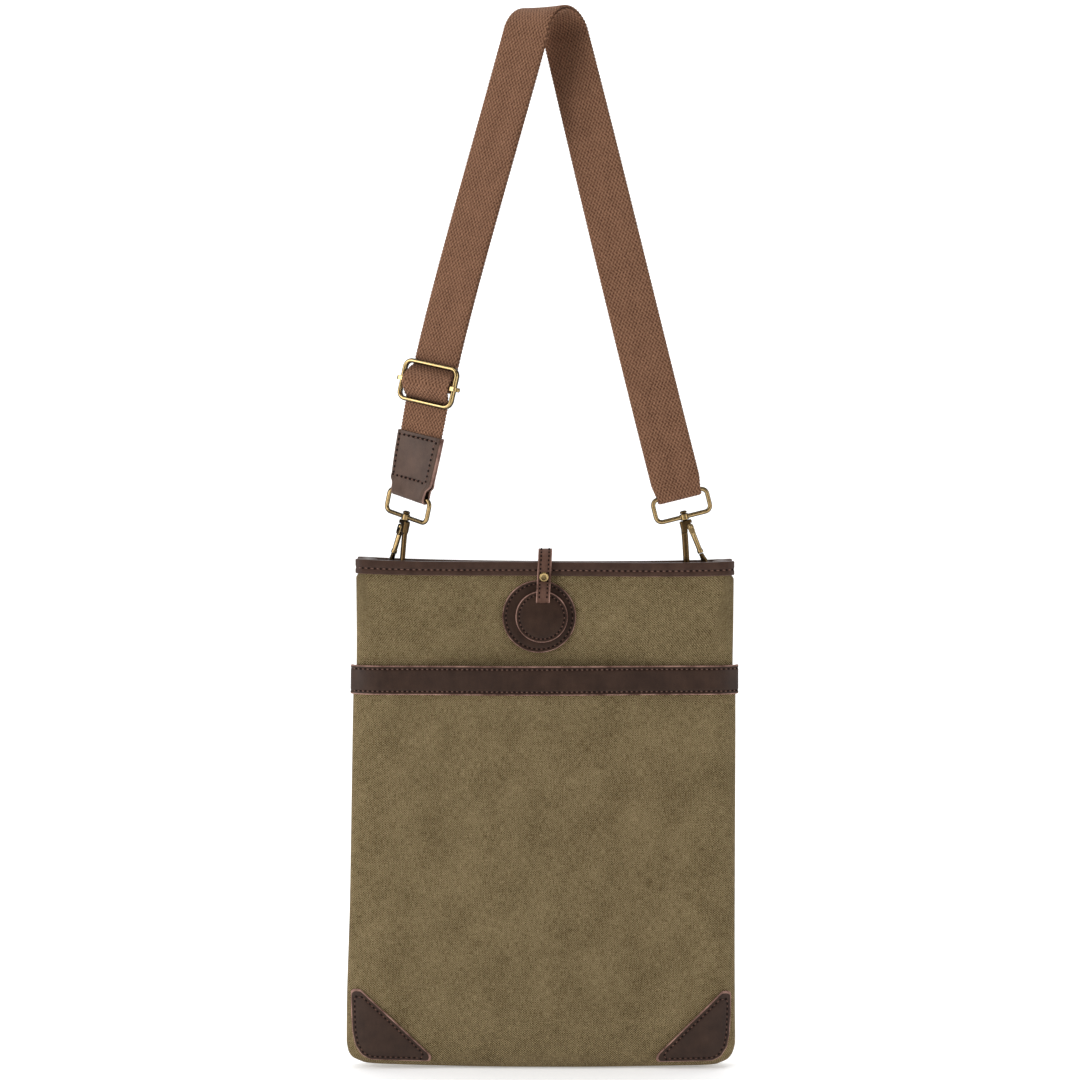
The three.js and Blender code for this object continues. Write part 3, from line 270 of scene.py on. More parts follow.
def lay(name, grid, wrap_rows=False, wrap_columns=False, marks=None):
    """A closed piece whose skin runs through rows of equally many points. Rows or columns that
    don't wrap round are closed by an end face. marks are values for the finish, one a point.
    Its map gives the real distance along a row and from row to row."""
    grid = np.array(grid, float)
    rows, columns = grid.shape[:2]
    row_spans = rows if wrap_rows else rows - 1
    column_spans = columns if wrap_columns else columns - 1
    r, c = np.meshgrid(np.arange(row_spans), np.arange(column_spans), indexing="ij")
    next_r, next_c = (r + 1) % rows, (c + 1) % columns
    corners = [r * columns + c, r * columns + next_c, next_r * columns + next_c, next_r * columns + c]
    quads = np.stack(corners, -1).reshape(-1, 4)
    faces = [tuple(q) for q in quads.tolist()]
    numbers = np.arange(rows * columns).reshape(rows, columns)
    if wrap_columns and not wrap_rows:
        faces += [tuple(numbers[0, ::-1].tolist()), tuple(numbers[-1].tolist())]
    if wrap_rows and not wrap_columns:
        faces += [tuple(numbers[:, 0].tolist()), tuple(numbers[::-1, -1].tolist())]
    mesh = bpy.data.meshes.new(name)
    mesh.from_pydata(grid.reshape(-1, 3).tolist(), [], faces)
    across = np.linalg.norm(np.diff(grid, axis=1, append=grid[:, :1]), axis=2).mean(0)
    down = np.linalg.norm(np.diff(grid, axis=0, append=grid[:1]), axis=2).mean(1)
    u = np.concatenate([[0], np.cumsum(across)])
    v = np.concatenate([[0], np.cumsum(down)])
    flat = np.stack([
        np.stack([u[c], v[r]], -1), np.stack([u[c + 1], v[r]], -1),
        np.stack([u[c + 1], v[r + 1]], -1), np.stack([u[c], v[r + 1]], -1),
    ], 2).reshape(-1, 2)
    uv = np.zeros((len(mesh.loops), 2))
    uv[:len(flat)] = flat
    mesh.uv_layers.new(name="cloth").data.foreach_set("uv", uv.ravel())
    for key, values in (marks or {}).items():
        attribute = mesh.attributes.new(key, "FLOAT", "POINT")
        attribute.data.foreach_set("value", np.broadcast_to(values, (rows, columns)).ravel())
    work = bmesh.new()
    work.from_mesh(mesh)
    ends = [f for f in work.faces if len(f.verts) > 4]
    bmesh.ops.recalc_face_normals(work, faces=work.faces[:])
    bmesh.ops.triangulate(work, faces=ends)
    work.to_mesh(mesh)
    work.free()
    mesh.polygons.foreach_set("use_smooth", [True] * len(mesh.polygons))
    return put(name, mesh)


def fasten(piece, finish, slot, body, *nodes):
    """Gives a piece its finish, ties it to its body, and hides the solids that it stands for."""
    piece.data.materials.clear()
    piece.data.materials.append(finish)
    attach(piece, body)
    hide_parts(*nodes)


class Field:
    """A value in a finish. Sums and products of fields add their own nodes."""

    def __init__(self, tree, socket=None):
        self.tree = tree
        self.socket = socket

    def node(self, kind, settings=(), sockets=(), out=0):
        made = self.tree.nodes.new(kind)
        for key, value in dict(settings).items():
            setattr(made, key, value)
        for key, value in dict(sockets).items():
            if isinstance(value, Field):
                self.tree.links.new(value.socket, made.inputs[key])
            else:
                made.inputs[key].default_value = value
        return Field(self.tree, made.outputs[out] if made.outputs else None)

    def maths(self, operation, *values):
        return self.node("ShaderNodeMath", {"operation": operation}, enumerate(values))

    def __add__(self, other):
        return self.maths("ADD", self, other)

    def __sub__(self, other):
        return self.maths("SUBTRACT", self, other)

    def __rsub__(self, other):
        return self.maths("SUBTRACT", other, self)

    def __mul__(self, other):
        return self.maths("MULTIPLY", self, other)

    __radd__ = __add__
    __rmul__ = __mul__

    def held(self, low=0.0, high=1.0):
        return self.maths("MAXIMUM", self.maths("MINIMUM", self, high), low)

    def between(self, low, high):
        """0 below low and 1 above high, with a smooth change from one to the other."""
        settings = {"interpolation_type": "SMOOTHSTEP"}
        return self.node("ShaderNodeMapRange", settings, {0: self, 1: low, 2: high})

    def mixed(self, first, second):
        """The first colour where this field is 0, the second where it is 1."""
        sockets = {0: self, 6: first, 7: second}
        return self.node("ShaderNodeMix", {"data_type": "RGBA"}, sockets, out=2)

    def grain(self, where, size, detail=2.0):
        """Noise about 0, with spots of the given width and height in metres."""
        scale = (1 / size[0], 1 / size[1], 1 / size[-1])
        sockets = {"Vector": where, "Scale": scale}
        placed = self.node("ShaderNodeMapping", {"vector_type": "POINT"}, sockets)
        spots = self.node(
            "ShaderNodeTexNoise",
            {"noise_dimensions": "3D"},
            {"Vector": placed, "Scale": 1.0, "Detail": detail, "Roughness": 0.6},
        )
        return spots - 0.5

    def mapped(self):
        """Distances in metres along and across the piece's own map."""
        return self.node("ShaderNodeUVMap", {"uv_map": "cloth"})

    def placed(self):
        return self.node("ShaderNodeTexCoord", out=3)


def new_finish(name):
    material = bpy.data.materials.new(name)
    material.use_nodes = True
    material.node_tree.nodes.clear()
    return material, Field(material.node_tree)


def close_finish(start, colour, roughness, height, depth, **fixed):
    """Joins a finish's colour, roughness and relief to its surface."""
    relief = start.node("ShaderNodeBump", {}, {"Strength": 1.0, "Distance": depth, "Height": height})
    surface = {"Base Color": colour, "Roughness": roughness, "Normal": relief}
    surface.update({key.replace("_", " "): value for key, value in fixed.items()})
    shader = start.node("ShaderNodeBsdfPrincipled", {}, surface)
    start.node("ShaderNodeOutputMaterial", {}, {"Surface": shader})


def srgb(red, green, blue):
    """A colour given as it looks on a screen, 0 to 255, as the linear values that shaders use."""
    shares = [c / 255 for c in (red, green, blue)]
    return (*[c / 12.92 if c < 0.04045 else ((c + 0.055) / 1.055) ** 2.4 for c in shares], 1)


def canvas_finish(name, dark, light):
    """Washed canvas: uneven upright and level threads, pale specks and soft wash marks."""
    contrast = 1.5
    warp_pair = 1.6 * MM
    weft_pair = 1.5 * MM
    material, start = new_finish(name)
    where = start.mapped()
    warp = start.grain(where, (0.65 * MM, 5 * MM))
    weft = start.grain(where, (5 * MM, 0.65 * MM))
    speck = start.grain(where, (0.7 * MM, 0.7 * MM), 1.0)
    wash = start.grain(where, (22 * MM, 30 * MM))
    across = start.node("ShaderNodeSeparateXYZ", {}, {0: where}, out=0)
    up = start.node("ShaderNodeSeparateXYZ", {}, {0: where}, out=1)
    warp_wave = start.maths("SINE", across * (2 * math.pi / warp_pair) + warp * 2.5)
    weft_wave = start.maths("SINE", up * (2 * math.pi / weft_pair) + weft * 2.5)
    weave = warp_wave * weft_wave
    tone = warp * 0.8 + weft * 0.6 + speck * 0.9 + weave * 0.4
    tone = tone * contrast + wash * 0.6 + 0.5
    colour = tone.held().mixed(dark, light)
    height = weave * 0.5 + warp + speck
    close_finish(
        start, colour, 0.92, height, 0.28 * MM,
        Sheen_Weight=0.04, Sheen_Roughness=0.5, Specular_IOR_Level=0.12,
    )
    return material


canvas = canvas_finish("washed_canvas", srgb(64, 50, 25), srgb(152, 134, 99))
canvas_top_z = rim_z - 1.8 * MM
body_levels = [
    *np.linspace(canvas_top_z, rim_z - 0.06 * pouch_height, 16)[:-1],
    *np.linspace(rim_z - 0.06 * pouch_height, rim_z - 0.93 * pouch_height, 96)[:-1],
    *(bottom_z + 0.07 * pouch_height * (1 - np.sin(np.linspace(0, math.pi / 2, 22)))),
]
inner_levels = [z for z in body_levels[::2] if z > bottom_z + 3 * canvas_wall]
body_grid = [whole_outline(section_at(z)) for z in reversed(body_levels)]
body_grid += [whole_outline(shell(section_at(z), -canvas_wall)) for z in inner_levels]
canvas_body = lay("canvas_body_cloth", body_grid, wrap_columns=True)
fasten(canvas_body, canvas, "canvas", "pouch_and_strap", "canvas_body")


# The binding: a strip of dark leather folded over the mouth's edge and sewn through, front and
# back in one, following the mouth's outline round both side folds.
leather_thickness = 1.5 * MM
binding_height = 9 * MM
binding_round = 0.75 * MM
binding_groove = 5.4 * MM


def leather_finish(name, dark, light, gloss=0.5):
    """Waxed leather: a fine grain, soft mottling, dull scuffs, and pale raw cut edges, which
    the piece's own marks show."""
    material, start = new_finish(name)
    where = start.placed()
    pore_size = 0.9 * MM
    sockets = {"Vector": where, "Scale": 1 / pore_size}
    pores = start.node("ShaderNodeTexVoronoi", {"feature": "SMOOTH_F1"}, sockets)
    fine = start.grain(where, (0.5 * MM,) * 3, 3.0)
    blotch = start.grain(where, (11 * MM,) * 3)
    scuff = start.grain(where, (3 * MM, 14 * MM, 14 * MM), 4.0)
    raw = start.node("ShaderNodeAttribute", {"attribute_name": "raw"}, out=2)
    tone = 0.42 + blotch * 1.0 + fine * 0.7 + scuff * 0.5
    body_colour = tone.held().mixed(dark, light)
    edge_tone = 0.45 + fine * 1.6 + blotch * 2.4
    edge_colour = edge_tone.held().mixed(srgb(84, 56, 47), srgb(176, 138, 124))
    colour = raw.between(0.3, 0.7).mixed(body_colour, edge_colour)
    roughness = (gloss + scuff * 0.25 + raw * 0.3).held()
    height = pores * -0.6 + fine * 0.8
    close_finish(start, colour, roughness, height, 0.07 * MM, Specular_IOR_Level=0.26)
    return material


leather = leather_finish("waxed_leather", srgb(36, 19, 10), srgb(68, 47, 35))
# The binding's leather is a lighter copy of the leather, painted sheen from the light above.
painted_sheen_binding_leather = leather_finish("painted_sheen_binding_leather", srgb(48, 29, 20), srgb(82, 59, 48))

rim_section = section_at(rim_z)
binding_out = clearance + leather_thickness
binding_in = -canvas_wall - binding_out
binding_low = rim_z - binding_height


def arc(centre, radius, start, end):
    """Rows of the binding's section along part of a circle."""
    angles = np.radians(np.linspace(start, end, 6))
    return [(centre[0] + radius * math.cos(a), centre[1] + radius * math.sin(a), 0) for a in angles]


def leather_face(out, low, high, direction):
    """One side of the binding's section, up its outer face past the groove of its stitches."""
    groove_z, groove_reach, groove_deep = rim_z - binding_groove, 0.8 * MM, 0.28 * MM
    rows = []
    for z in np.linspace(low, high, 15):
        near = math.exp(-(((z - groove_z) / groove_reach) ** 2))
        rows.append((out - direction * groove_deep * near, z, 0))
    return rows


edge = 0.4 * MM
binding_profile = [
    (clearance, binding_low, 1),
    (binding_out - edge, binding_low, 1),
    (binding_out - 0.1 * MM, binding_low + 0.12 * MM, 0.5),
    *leather_face(binding_out, binding_low + edge, rim_z - binding_round, 1),
    *arc((binding_out - binding_round, rim_z - binding_round), binding_round, 15, 90),
    *arc((binding_in + binding_round, rim_z - binding_round), binding_round, 90, 165),
    *leather_face(binding_in, binding_low + edge, rim_z - binding_round, -1)[::-1],
    (binding_in + 0.1 * MM, binding_low + 0.12 * MM, 0.5),
    (binding_in + edge, binding_low, 1),
    (-canvas_wall - clearance, binding_low, 1),
    (-canvas_wall - clearance, rim_z - leather_thickness, 0),
    (clearance, rim_z - leather_thickness, 0),
]
binding_grid = [whole_outline({**shell(rim_section, out), "z": z}) for out, z, raw in binding_profile]
binding_marks = np.array([[raw] for out, z, raw in binding_profile])
binding = lay("mouth_binding", binding_grid, True, True, {"raw": binding_marks})
fasten(binding, painted_sheen_binding_leather, "leather", "pouch_and_strap", "top_binding")


# The stitches: a waxed brown thread in evenly punched holes, half sunk in the leather. A run is
# one line of stitches, and each tree makes a thread or a hole's painted shade at every pitch of its runs.
def run_tree():
    tree = bpy.data.node_groups.new("Run of stitches", "GeometryNodeTree")
    tree.interface.new_socket("Runs", in_out="INPUT", socket_type="NodeSocketGeometry")
    for label in ("Pitch", "Length", "Radius", "Shift"):
        tree.interface.new_socket(label, in_out="INPUT", socket_type="NodeSocketFloat")
    tree.interface.new_socket("Finish", in_out="INPUT", socket_type="NodeSocketMaterial")
    tree.interface.new_socket("Stitches", in_out="OUTPUT", socket_type="NodeSocketGeometry")

    def add(kind, settings=(), sockets=()):
        made = tree.nodes.new(kind)
        for key, value in dict(settings).items():
            setattr(made, key, value)
        for key, value in dict(sockets).items():
            if isinstance(value, bpy.types.NodeSocket):
                tree.links.new(value, made.inputs[key])
            else:
                made.inputs[key].default_value = value
        return made.outputs

    given = add("NodeGroupInput")
    line = add("GeometryNodeMeshToCurve", {}, {"Mesh": given["Runs"]})
    spacing = {0: line[0], "Length": given["Pitch"]}
    points = add("GeometryNodeCurveToPoints", {"mode": "LENGTH"}, spacing)
    ball = add("GeometryNodeMeshUVSphere", {}, {"Segments": 8, "Rings": 6, "Radius": 1.0})
    half = add("ShaderNodeMath", {"operation": "MULTIPLY"}, {0: given["Length"], 1: 0.5})
    size = add("ShaderNodeCombineXYZ", {}, {0: given["Radius"], 1: given["Radius"], 2: half[0]})
    move = add("ShaderNodeCombineXYZ", {}, {2: given["Shift"]})
    placing = {"Geometry": ball[0], "Scale": size[0], "Translation": move[0]}
    bit = add("GeometryNodeTransform", {}, placing)
    set_out = add(
        "GeometryNodeInstanceOnPoints", {},
        {"Points": points["Points"], "Instance": bit[0], "Rotation": points["Rotation"]},
    )
    real = add("GeometryNodeRealizeInstances", {}, {0: set_out[0]})
    painted = add("GeometryNodeSetMaterial", {}, {0: real[0], "Material": given["Finish"]})
    add("NodeGroupOutput", {}, {0: painted[0]})
    return tree


def thread_finish(name, dark, light):
    """Twisted waxed thread."""
    material, start = new_finish(name)
    where = start.placed()
    twist = start.grain(where, (0.35 * MM,) * 3, 1.0)
    colour = (0.5 + twist * 2).held().mixed(dark, light)
    close_finish(start, colour, 0.75, twist, 0.1 * MM, Specular_IOR_Level=0.1)
    return material


stitch_tree = run_tree()
thread = thread_finish("waxed_thread", srgb(84, 56, 47), srgb(152, 119, 106))
dark_thread = thread_finish("dark_thread", srgb(66, 42, 35), srgb(134, 101, 89))
# Dark blobs sunk at the holes between the threads: painted shade of the punched holes.
hole_shade = thread_finish("painted_hole_shade", srgb(22, 12, 9), srgb(38, 24, 19))


def sew(name, runs, pitch, thread=dark_thread, radius=0.32 * MM):
    """Stitches along runs, each a list of points, made one mesh that rides on the pouch."""
    lines = bpy.data.meshes.new(name + "_runs")
    points = [tuple(p) for run in runs for p in run]
    edges = []
    first = 0
    for run in runs:
        edges += [(first + i, first + i + 1) for i in range(len(run) - 1)]
        first += len(run)
    lines.from_pydata(points, edges, [])
    holder = put(name + "_runs", lines)
    kinds = {
        "thread": (max(pitch - 1.9 * MM, 1.2 * MM), radius, 0.0, thread),
        # A hole is a dark blob, the painted shade of the punched hole.
        "hole": (1.5 * MM, 1.9 * radius, 0.5 * pitch, hole_shade),
    }
    meshes = []
    for kind, (length, thick, shift, finish) in kinds.items():
        modifier = holder.modifiers.new(kind, "NODES")
        modifier.node_group = stitch_tree
        sockets = {s.name: s.identifier for s in stitch_tree.interface.items_tree if s.in_out == "INPUT"}
        values = {"Pitch": pitch, "Length": length, "Radius": thick, "Shift": shift, "Finish": finish}
        for label, value in values.items():
            modifier[sockets[label]] = value
        evaluated = holder.evaluated_get(bpy.context.evaluated_depsgraph_get())
        meshes.append(bpy.data.meshes.new_from_object(evaluated))
        holder.modifiers.remove(modifier)
    bpy.data.objects.remove(holder)
    joined = bmesh.new()
    for index, mesh in enumerate(meshes):
        mesh.polygons.foreach_set("material_index", [index] * len(mesh.polygons))
        mesh.polygons.foreach_set("use_smooth", [True] * len(mesh.polygons))
        joined.from_mesh(mesh)
    whole = bpy.data.meshes.new(name)
    joined.to_mesh(whole)
    joined.free()
    whole.materials.append(thread)
    whole.materials.append(hole_shade)
    piece = put(name, whole)
    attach(piece, "pouch_and_strap")


thread_sink = 0.12 * MM
groove_sink = 0.2 * MM
corner_left_out = slice(14, -14)
groove_section = {**shell(rim_section, binding_out - groove_sink), "z": rim_z - binding_groove}
groove_lines = [half_outline(groove_section, side)[corner_left_out] for side in ("front", "back")]
sew("binding_stitches", groove_lines, 3.75 * MM, thread)


# The slip pocket: a second canvas front, sewn in with the side and bottom seams. Its middle
# stands off the body, so a hand or a sheaf of papers goes in behind it.
pocket_drop = 66.5 * MM
pocket_top = rim_z - pocket_drop
pocket_hem = 0.8 * MM
pocket_cloth = 1.5 * MM
pocket_ease = 6 * MM
read_ease = smooth_table([
    (0, 1), (0.34, 1), (0.68, 0.85), (0.88, 0.45), (0.955, 0.2), (0.976, 0.1), (0.99, 0), (1, 0),
])


def overlay(section, out, middle=None):
    """The section of a face laid on the front, whose sides stay at the seam's depth."""
    middle = out if middle is None else middle
    return {
        **section,
        "left": section["left"] + out,
        "right": section["right"] + out,
        "corner": section["corner"] + out,
        "front_mid": section["front_mid"] + middle,
        "front_end": section["front_end"] + out,
    }


def pocket_section(z, out):
    section = section_at(z)
    ease = pocket_ease * read_ease((rim_z - z) / pouch_height)[0]
    return overlay(section, clearance + out, clearance + out + ease)


panel_top = pocket_top - pocket_hem
panel_levels = [z for z in body_levels if z < panel_top]
panel_levels = [panel_top, *panel_levels]
panel_grid = [half_outline(pocket_section(z, pocket_cloth), "front") for z in panel_levels]
panel_grid += [half_outline(pocket_section(z, 0), "front") for z in panel_levels[::-1]]
panel = lay("pocket_panel_cloth", panel_grid, wrap_rows=True)
fasten(panel, canvas, "canvas", "pouch_and_strap", "pocket_panel")


# The band along the pocket's top edge: a flat strip of leather with raw edges, sewn on with two
# rows of stitches and caught in the side seams.
band_height = 18.7 * MM
band_low = pocket_top - band_height
band_out = pocket_cloth + clearance
stitch_inset = 2.3 * MM
groove_half = 0.85 * MM
groove_depth = 0.25 * MM


def lip(thickness, inset=None, rim=0.5 * MM, steps=4):
    """A raw edge and the groove of its stitches, as rows of distance inside the edge, height
    above the back and rawness, from the back of the edge inwards over the face."""
    corner = min(rim, 0.8 * thickness)
    rows = [(0, 0, 1), (0, 0.4 * (thickness - corner), 1), (0, thickness - corner, 1)]
    for k in range(1, steps + 1):
        angle = math.pi / 2 * k / steps
        rows.append((corner * (1 - math.cos(angle)), thickness - corner * (1 - math.sin(angle)), 1))
    rows.append((corner + 0.15 * MM, thickness, 0))
    if inset is None:
        return rows
    for t in np.linspace(-1, 1, 7):
        depth = groove_depth * 0.5 * (1 + math.cos(math.pi * t))
        rows.append((inset + t * groove_half, thickness - depth, 0))
    return rows


band_lip = lip(leather_thickness, stitch_inset, 0.7 * MM)
band_rows = [(band_low + d, out, raw) for d, out, raw in band_lip]
face_low, face_high = band_rows[-1][0], pocket_top - band_lip[-1][0]
band_rows += [(z, leather_thickness, 0) for z in np.linspace(face_low, face_high, 12)[1:-1]]
band_rows += [(pocket_top - d, out, raw) for d, out, raw in band_lip[::-1]]
band_rows += [(z, 0, 0) for z in np.linspace(pocket_top, band_low, 8)[1:-1]]
band_grid = [half_outline(pocket_section(z, band_out + out), "front") for z, out, raw in band_rows]
band_marks = np.array([[raw] for z, out, raw in band_rows])
band = lay("pocket_band_leather", band_grid, wrap_rows=True, marks={"raw": band_marks})
fasten(band, leather, "leather", "pouch_and_strap", "pocket_band")

band_face = band_out + leather_thickness - thread_sink
band_runs = [
    half_outline(pocket_section(z, band_face), "front")[6:-6]
    for z in (pocket_top - stitch_inset, band_low + stitch_inset)
]
sew("band_stitches", band_runs, 3.15 * MM, thread)


# The corner patches: a leather triangle on each lower corner of the pocket, with round corners,
# raw edges and one row of stitches just inside them.
patch_low = bottom_z + 3.6 * MM
centre_shift = 1.5 * MM
patches = {
    "left": (-1, 123.0 * MM, 51.6 * MM, 47.6 * MM),
    "right": (1, 120.5 * MM, 48.2 * MM, 46.4 * MM),
}
patch_outline = [
    (0.0, 0.97), (0.04, 1.0), (0.12, 1.0), (0.54, 0.57), (0.98, 0.11), (1.0, 0.05), (0.98, 0.0),
    (0.24, 0.0), (0.13, 0.06), (0.05, 0.2), (0.015, 0.4), (0.005, 0.6),
]


def run_lengths(points):
    """The distance run at each point of a line."""
    return np.concatenate([[0], np.cumsum(np.linalg.norm(np.diff(points, axis=0), axis=1))])


def evenly(points, count, closed=True):
    """The same line through count evenly set points. A closed line doesn't repeat its first."""
    points = np.array([*points, points[0]] if closed else points, float)
    lengths = run_lengths(points)
    at = np.linspace(0, lengths[-1], count, endpoint=not closed)
    return np.stack([np.interp(at, lengths, column) for column in points.T], 1)


def rounded(points, step, softness):
    """A closed line through points, at even steps, with its corners eased over a distance."""
    line = evenly(points, int(run_lengths([*points, points[0]])[-1] / step))
    for _ in range(int((softness / step) ** 2)):
        line = 0.5 * line + 0.25 * (np.roll(line, 1, 0) + np.roll(line, -1, 0))
    return line


def sewn_on(name, outline, centre, reach, face, thickness, inset=stitch_inset):
    """A flat leather shape on the front. Its rows shrink from its outline towards centre, and
    face(x, z, out) gives each point. reach is the distance from centre to its nearest edge."""
    outline = np.array(outline)
    innermost = 0.985 * reach
    rows = lip(thickness, inset)
    rows += [(d, thickness, 0) for d in np.linspace(rows[-1][0], innermost, 9)[1:]]
    rows = [(innermost, 0, 0), (reach * 0.5, 0, 0), *rows]
    grid = []
    for d, out, raw in rows:
        ring = centre + (outline - centre) * (1 - d / reach)
        grid.append([face(x, z, out) for x, z in ring])
    marks = np.array([[raw] for d, out, raw in rows])
    return lay(name, grid, wrap_columns=True, marks={"raw": marks})


def pocket_face(x, z, out):
    section = pocket_section(z, band_out + out)
    return on_pouch(x, depth_at(section, "front", x), z, -1)


for side_name, patch in patches.items():
    sign, reach, width, height = patch
    tips = [(sign * (reach - across * width), patch_low + up * height) for across, up in patch_outline]
    shape = rounded(tips, 0.6 * MM, 1.3 * MM)
    in_radius = width * height / (width + height + math.hypot(width, height))
    centre = np.array([sign * (reach - in_radius - centre_shift), patch_low + in_radius])
    name = f"corner_patch_{side_name}"
    corner_patch = sewn_on(f"{name}_leather", shape, centre, in_radius, pocket_face, leather_thickness)
    fasten(corner_patch, leather, "leather", "pouch_and_strap", name)
    row = centre + (shape - centre) * (1 - stitch_inset / in_radius)
    row = np.vstack([row, row[:1]])
    run = [pocket_face(x, z, leather_thickness - thread_sink) for x, z in row]
    sew(f"{name}_stitches", [run], 3.3 * MM)


# The closure: a round leather base sewn to the front, and a second disc sewn on it, with a slot
# that holds the end of the closing tab.
disc_z = rim_z - 35.3 * MM
base_radius, base_x = 23.4 * MM, -2.4 * MM
button_radius, button_x = 16.6 * MM, -0.8 * MM
button_thickness = 2.2 * MM
button_dome = 0.8 * MM
button_out = clearance + leather_thickness + clearance


def circle(x, radius):
    angles = np.linspace(0, 2 * math.pi, 120, endpoint=False)
    return np.stack([x + radius * np.cos(angles), disc_z + radius * np.sin(angles)], 1)


def disc_face(start_out, dome=0.0, x0=0.0, radius=1.0):
    def face(x, z, out):
        section = overlay(section_at(z), start_out + out)
        far = min(math.hypot(x - x0, z - disc_z) / radius, 1)
        raised = dome * (1 - far**2) if out > 0 else 0
        return on_pouch(x, depth_at(section, "front", x) + raised, z, -1)
    return face


button_face = disc_face(button_out, button_dome, button_x, button_radius)
discs = {
    "base": (base_x, base_radius, disc_face(clearance), leather_thickness, 3.0 * MM),
    "button": (button_x, button_radius, button_face, button_thickness, 2.7 * MM),
}
for label, (x, radius, face, thickness, pitch) in discs.items():
    centre = np.array([x, disc_z])
    disc = sewn_on(f"closure_{label}_leather", circle(x, radius), centre, radius, face, thickness)
    fasten(disc, leather, "leather", "pouch_and_strap", f"closure_{label}_disc")
for label, (x, radius, face, thickness, pitch) in discs.items():
    run = [face(px, pz, thickness - thread_sink) for px, pz in circle(x, radius - stitch_inset)]
    sew(f"closure_{label}_stitches", [run], pitch)


# The closing tab: two plies of leather sewn together, fixed on the back, over the mouth in an
# arch and down the front into the slot of the upper disc. A brass rivet holds it to the rim.
tab_width = 8.7 * MM
tab_inset = 1.9 * MM
tab_thickness = 2.4 * MM
tab_half = tab_thickness / 2
slot_z = disc_z + 9.3 * MM
rivet_z = rim_z - 10.5 * MM
rivet_radius = 3.05 * MM
tab_bend = 5 * MM
bend_z = rim_z + 5.7 * MM - tab_bend


def belt(rows, bend_step, step):
    """A path in a plane that bends round circles like a belt, as arrays u and v. A row is u, v,
    a radius, positive for a circle on the path's left, and if wanted the turn in degrees."""
    ways = []
    for a, b in zip(rows, rows[1:]):
        distance = math.hypot(b[0] - a[0], b[1] - a[1])
        ways.append(math.atan2(b[1] - a[1], b[0] - a[0]) - math.asin((b[2] - a[2]) / distance))
    points = []
    for i, (u, v, radius, *given) in enumerate(rows):
        first = ways[max(i - 1, 0)]
        turn = ways[min(i, len(ways) - 1)] - first
        if given:
            turn = math.radians(given[0])
        elif radius != 0:
            turn %= math.copysign(2 * math.pi, radius)
        if radius == 0:
            points.append((u, v))
            continue
        count = max(1, math.ceil(abs(turn) / math.radians(bend_step)))
        for k in range(count + 1):
            way = first + turn * k / count
            points.append((u + radius * math.sin(way), v - radius * math.cos(way)))
    line = evenly(points, int(run_lengths(points)[-1] / step) + 1, closed=False)
    ease = np.array([1, 2, 3, 2, 1]) / 9
    inner = np.stack([np.convolve(line[:, i], ease, "same") for i in (0, 1)], 1)
    line[2:-2] = inner[2:-2]
    return line


def ribbon(name, centres, sideways, thick, half, thickness, inset=None, pinch=0.0):
    """A flat strip along centres, with raw rounded edges, and a groove on both faces where
    inset is given. half is its half width, and pinch how far its edges press on over what
    lies between its plies, one for all or one a station."""
    half = np.broadcast_to(half, len(centres))
    pinch = np.broadcast_to(pinch, len(centres))
    press = 2 * MM
    edge_rows = lip(thickness / 2, inset)
    section = [(-1, d, out, raw) for d, out, raw in edge_rows]
    section += [(0, 0, thickness / 2, 0)]
    section += [(1, d, out, raw) for d, out, raw in edge_rows[::-1]]
    section += [(sign, d, -out, raw) for sign, d, out, raw in section[-2:0:-1]]
    grid = []
    for centre, side, normal, reach, over in zip(centres, sideways, thick, half, pinch):
        grid.append([
            centre + side * sign * (reach - d) + normal * (out + over * (1 - min(d / press, 1)) ** 2)
            for sign, d, out, raw in section
        ])
    marks = np.array([[raw for sign, d, out, raw in section]])
    return lay(name, grid, wrap_columns=True, marks={"raw": marks})


def front_at(z, out):
    return depth_at(overlay(section_at(z), out), "front", 0)


def tab_x(z):
    return 1.2 * MM - 1.8 * MM * (rim_z - z) / (rim_z - disc_z)


tab_over_rim = rim_section["front_mid"] + binding_out + clearance + tab_half
tab_behind_rim = rim_section["back_mid"] + binding_out + clearance + tab_half
tab_back_z = rim_z - 27 * MM
tab_over_back = section_at(tab_back_z)["back_mid"] + clearance + tab_half
button_top = disc_z + button_radius
tab_over_base = front_at(disc_z + base_radius, clearance + leather_thickness) + clearance + tab_half
tab_over_button = max(front_at(button_top, 0), front_at(slot_z, 0)) + button_out + button_thickness
tab_over_button += clearance + tab_half
tuck = tab_half + clearance
tab_rows = [
    (-tab_over_back, tab_back_z, 0),
    (-tab_behind_rim, rim_z - binding_height, 0),
    (tab_bend - tab_behind_rim, bend_z, -tab_bend),
    (tab_over_rim - tab_bend, bend_z, -tab_bend),
    (tab_over_base, rivet_z + rivet_radius + tab_half, 0),
    (tab_over_base, rivet_z - rivet_radius - clearance, 0),
    (tab_over_button, button_top + tab_half, 0),
    (tab_over_button - tuck, slot_z + tuck, -tuck),
    (front_at(slot_z, button_out) + clearance, slot_z, 0),
]
tab_line = belt(tab_rows, 6, 0.5 * MM)
tab_ways = np.gradient(tab_line, axis=0)
tab_ways /= np.linalg.norm(tab_ways, axis=1)[:, None]
tab_centres = [np.array([tab_x(v), -u, v]) for u, v in tab_line]
tab_thick = [np.array([0, way[1], way[0]]) for way in tab_ways]
tab_leather = leather_finish("rough_tab_leather", srgb(64, 40, 31), srgb(116, 84, 70), 0.75)
tab_sideways = [np.array([1, 0, 0])] * len(tab_centres)
tab = ribbon(
    "closing_tab_leather", tab_centres, tab_sideways, tab_thick, tab_width / 2, tab_thickness, tab_inset,
)
fasten(tab, tab_leather, "leather", "pouch_and_strap", "closure_tab")
tab_runs = []
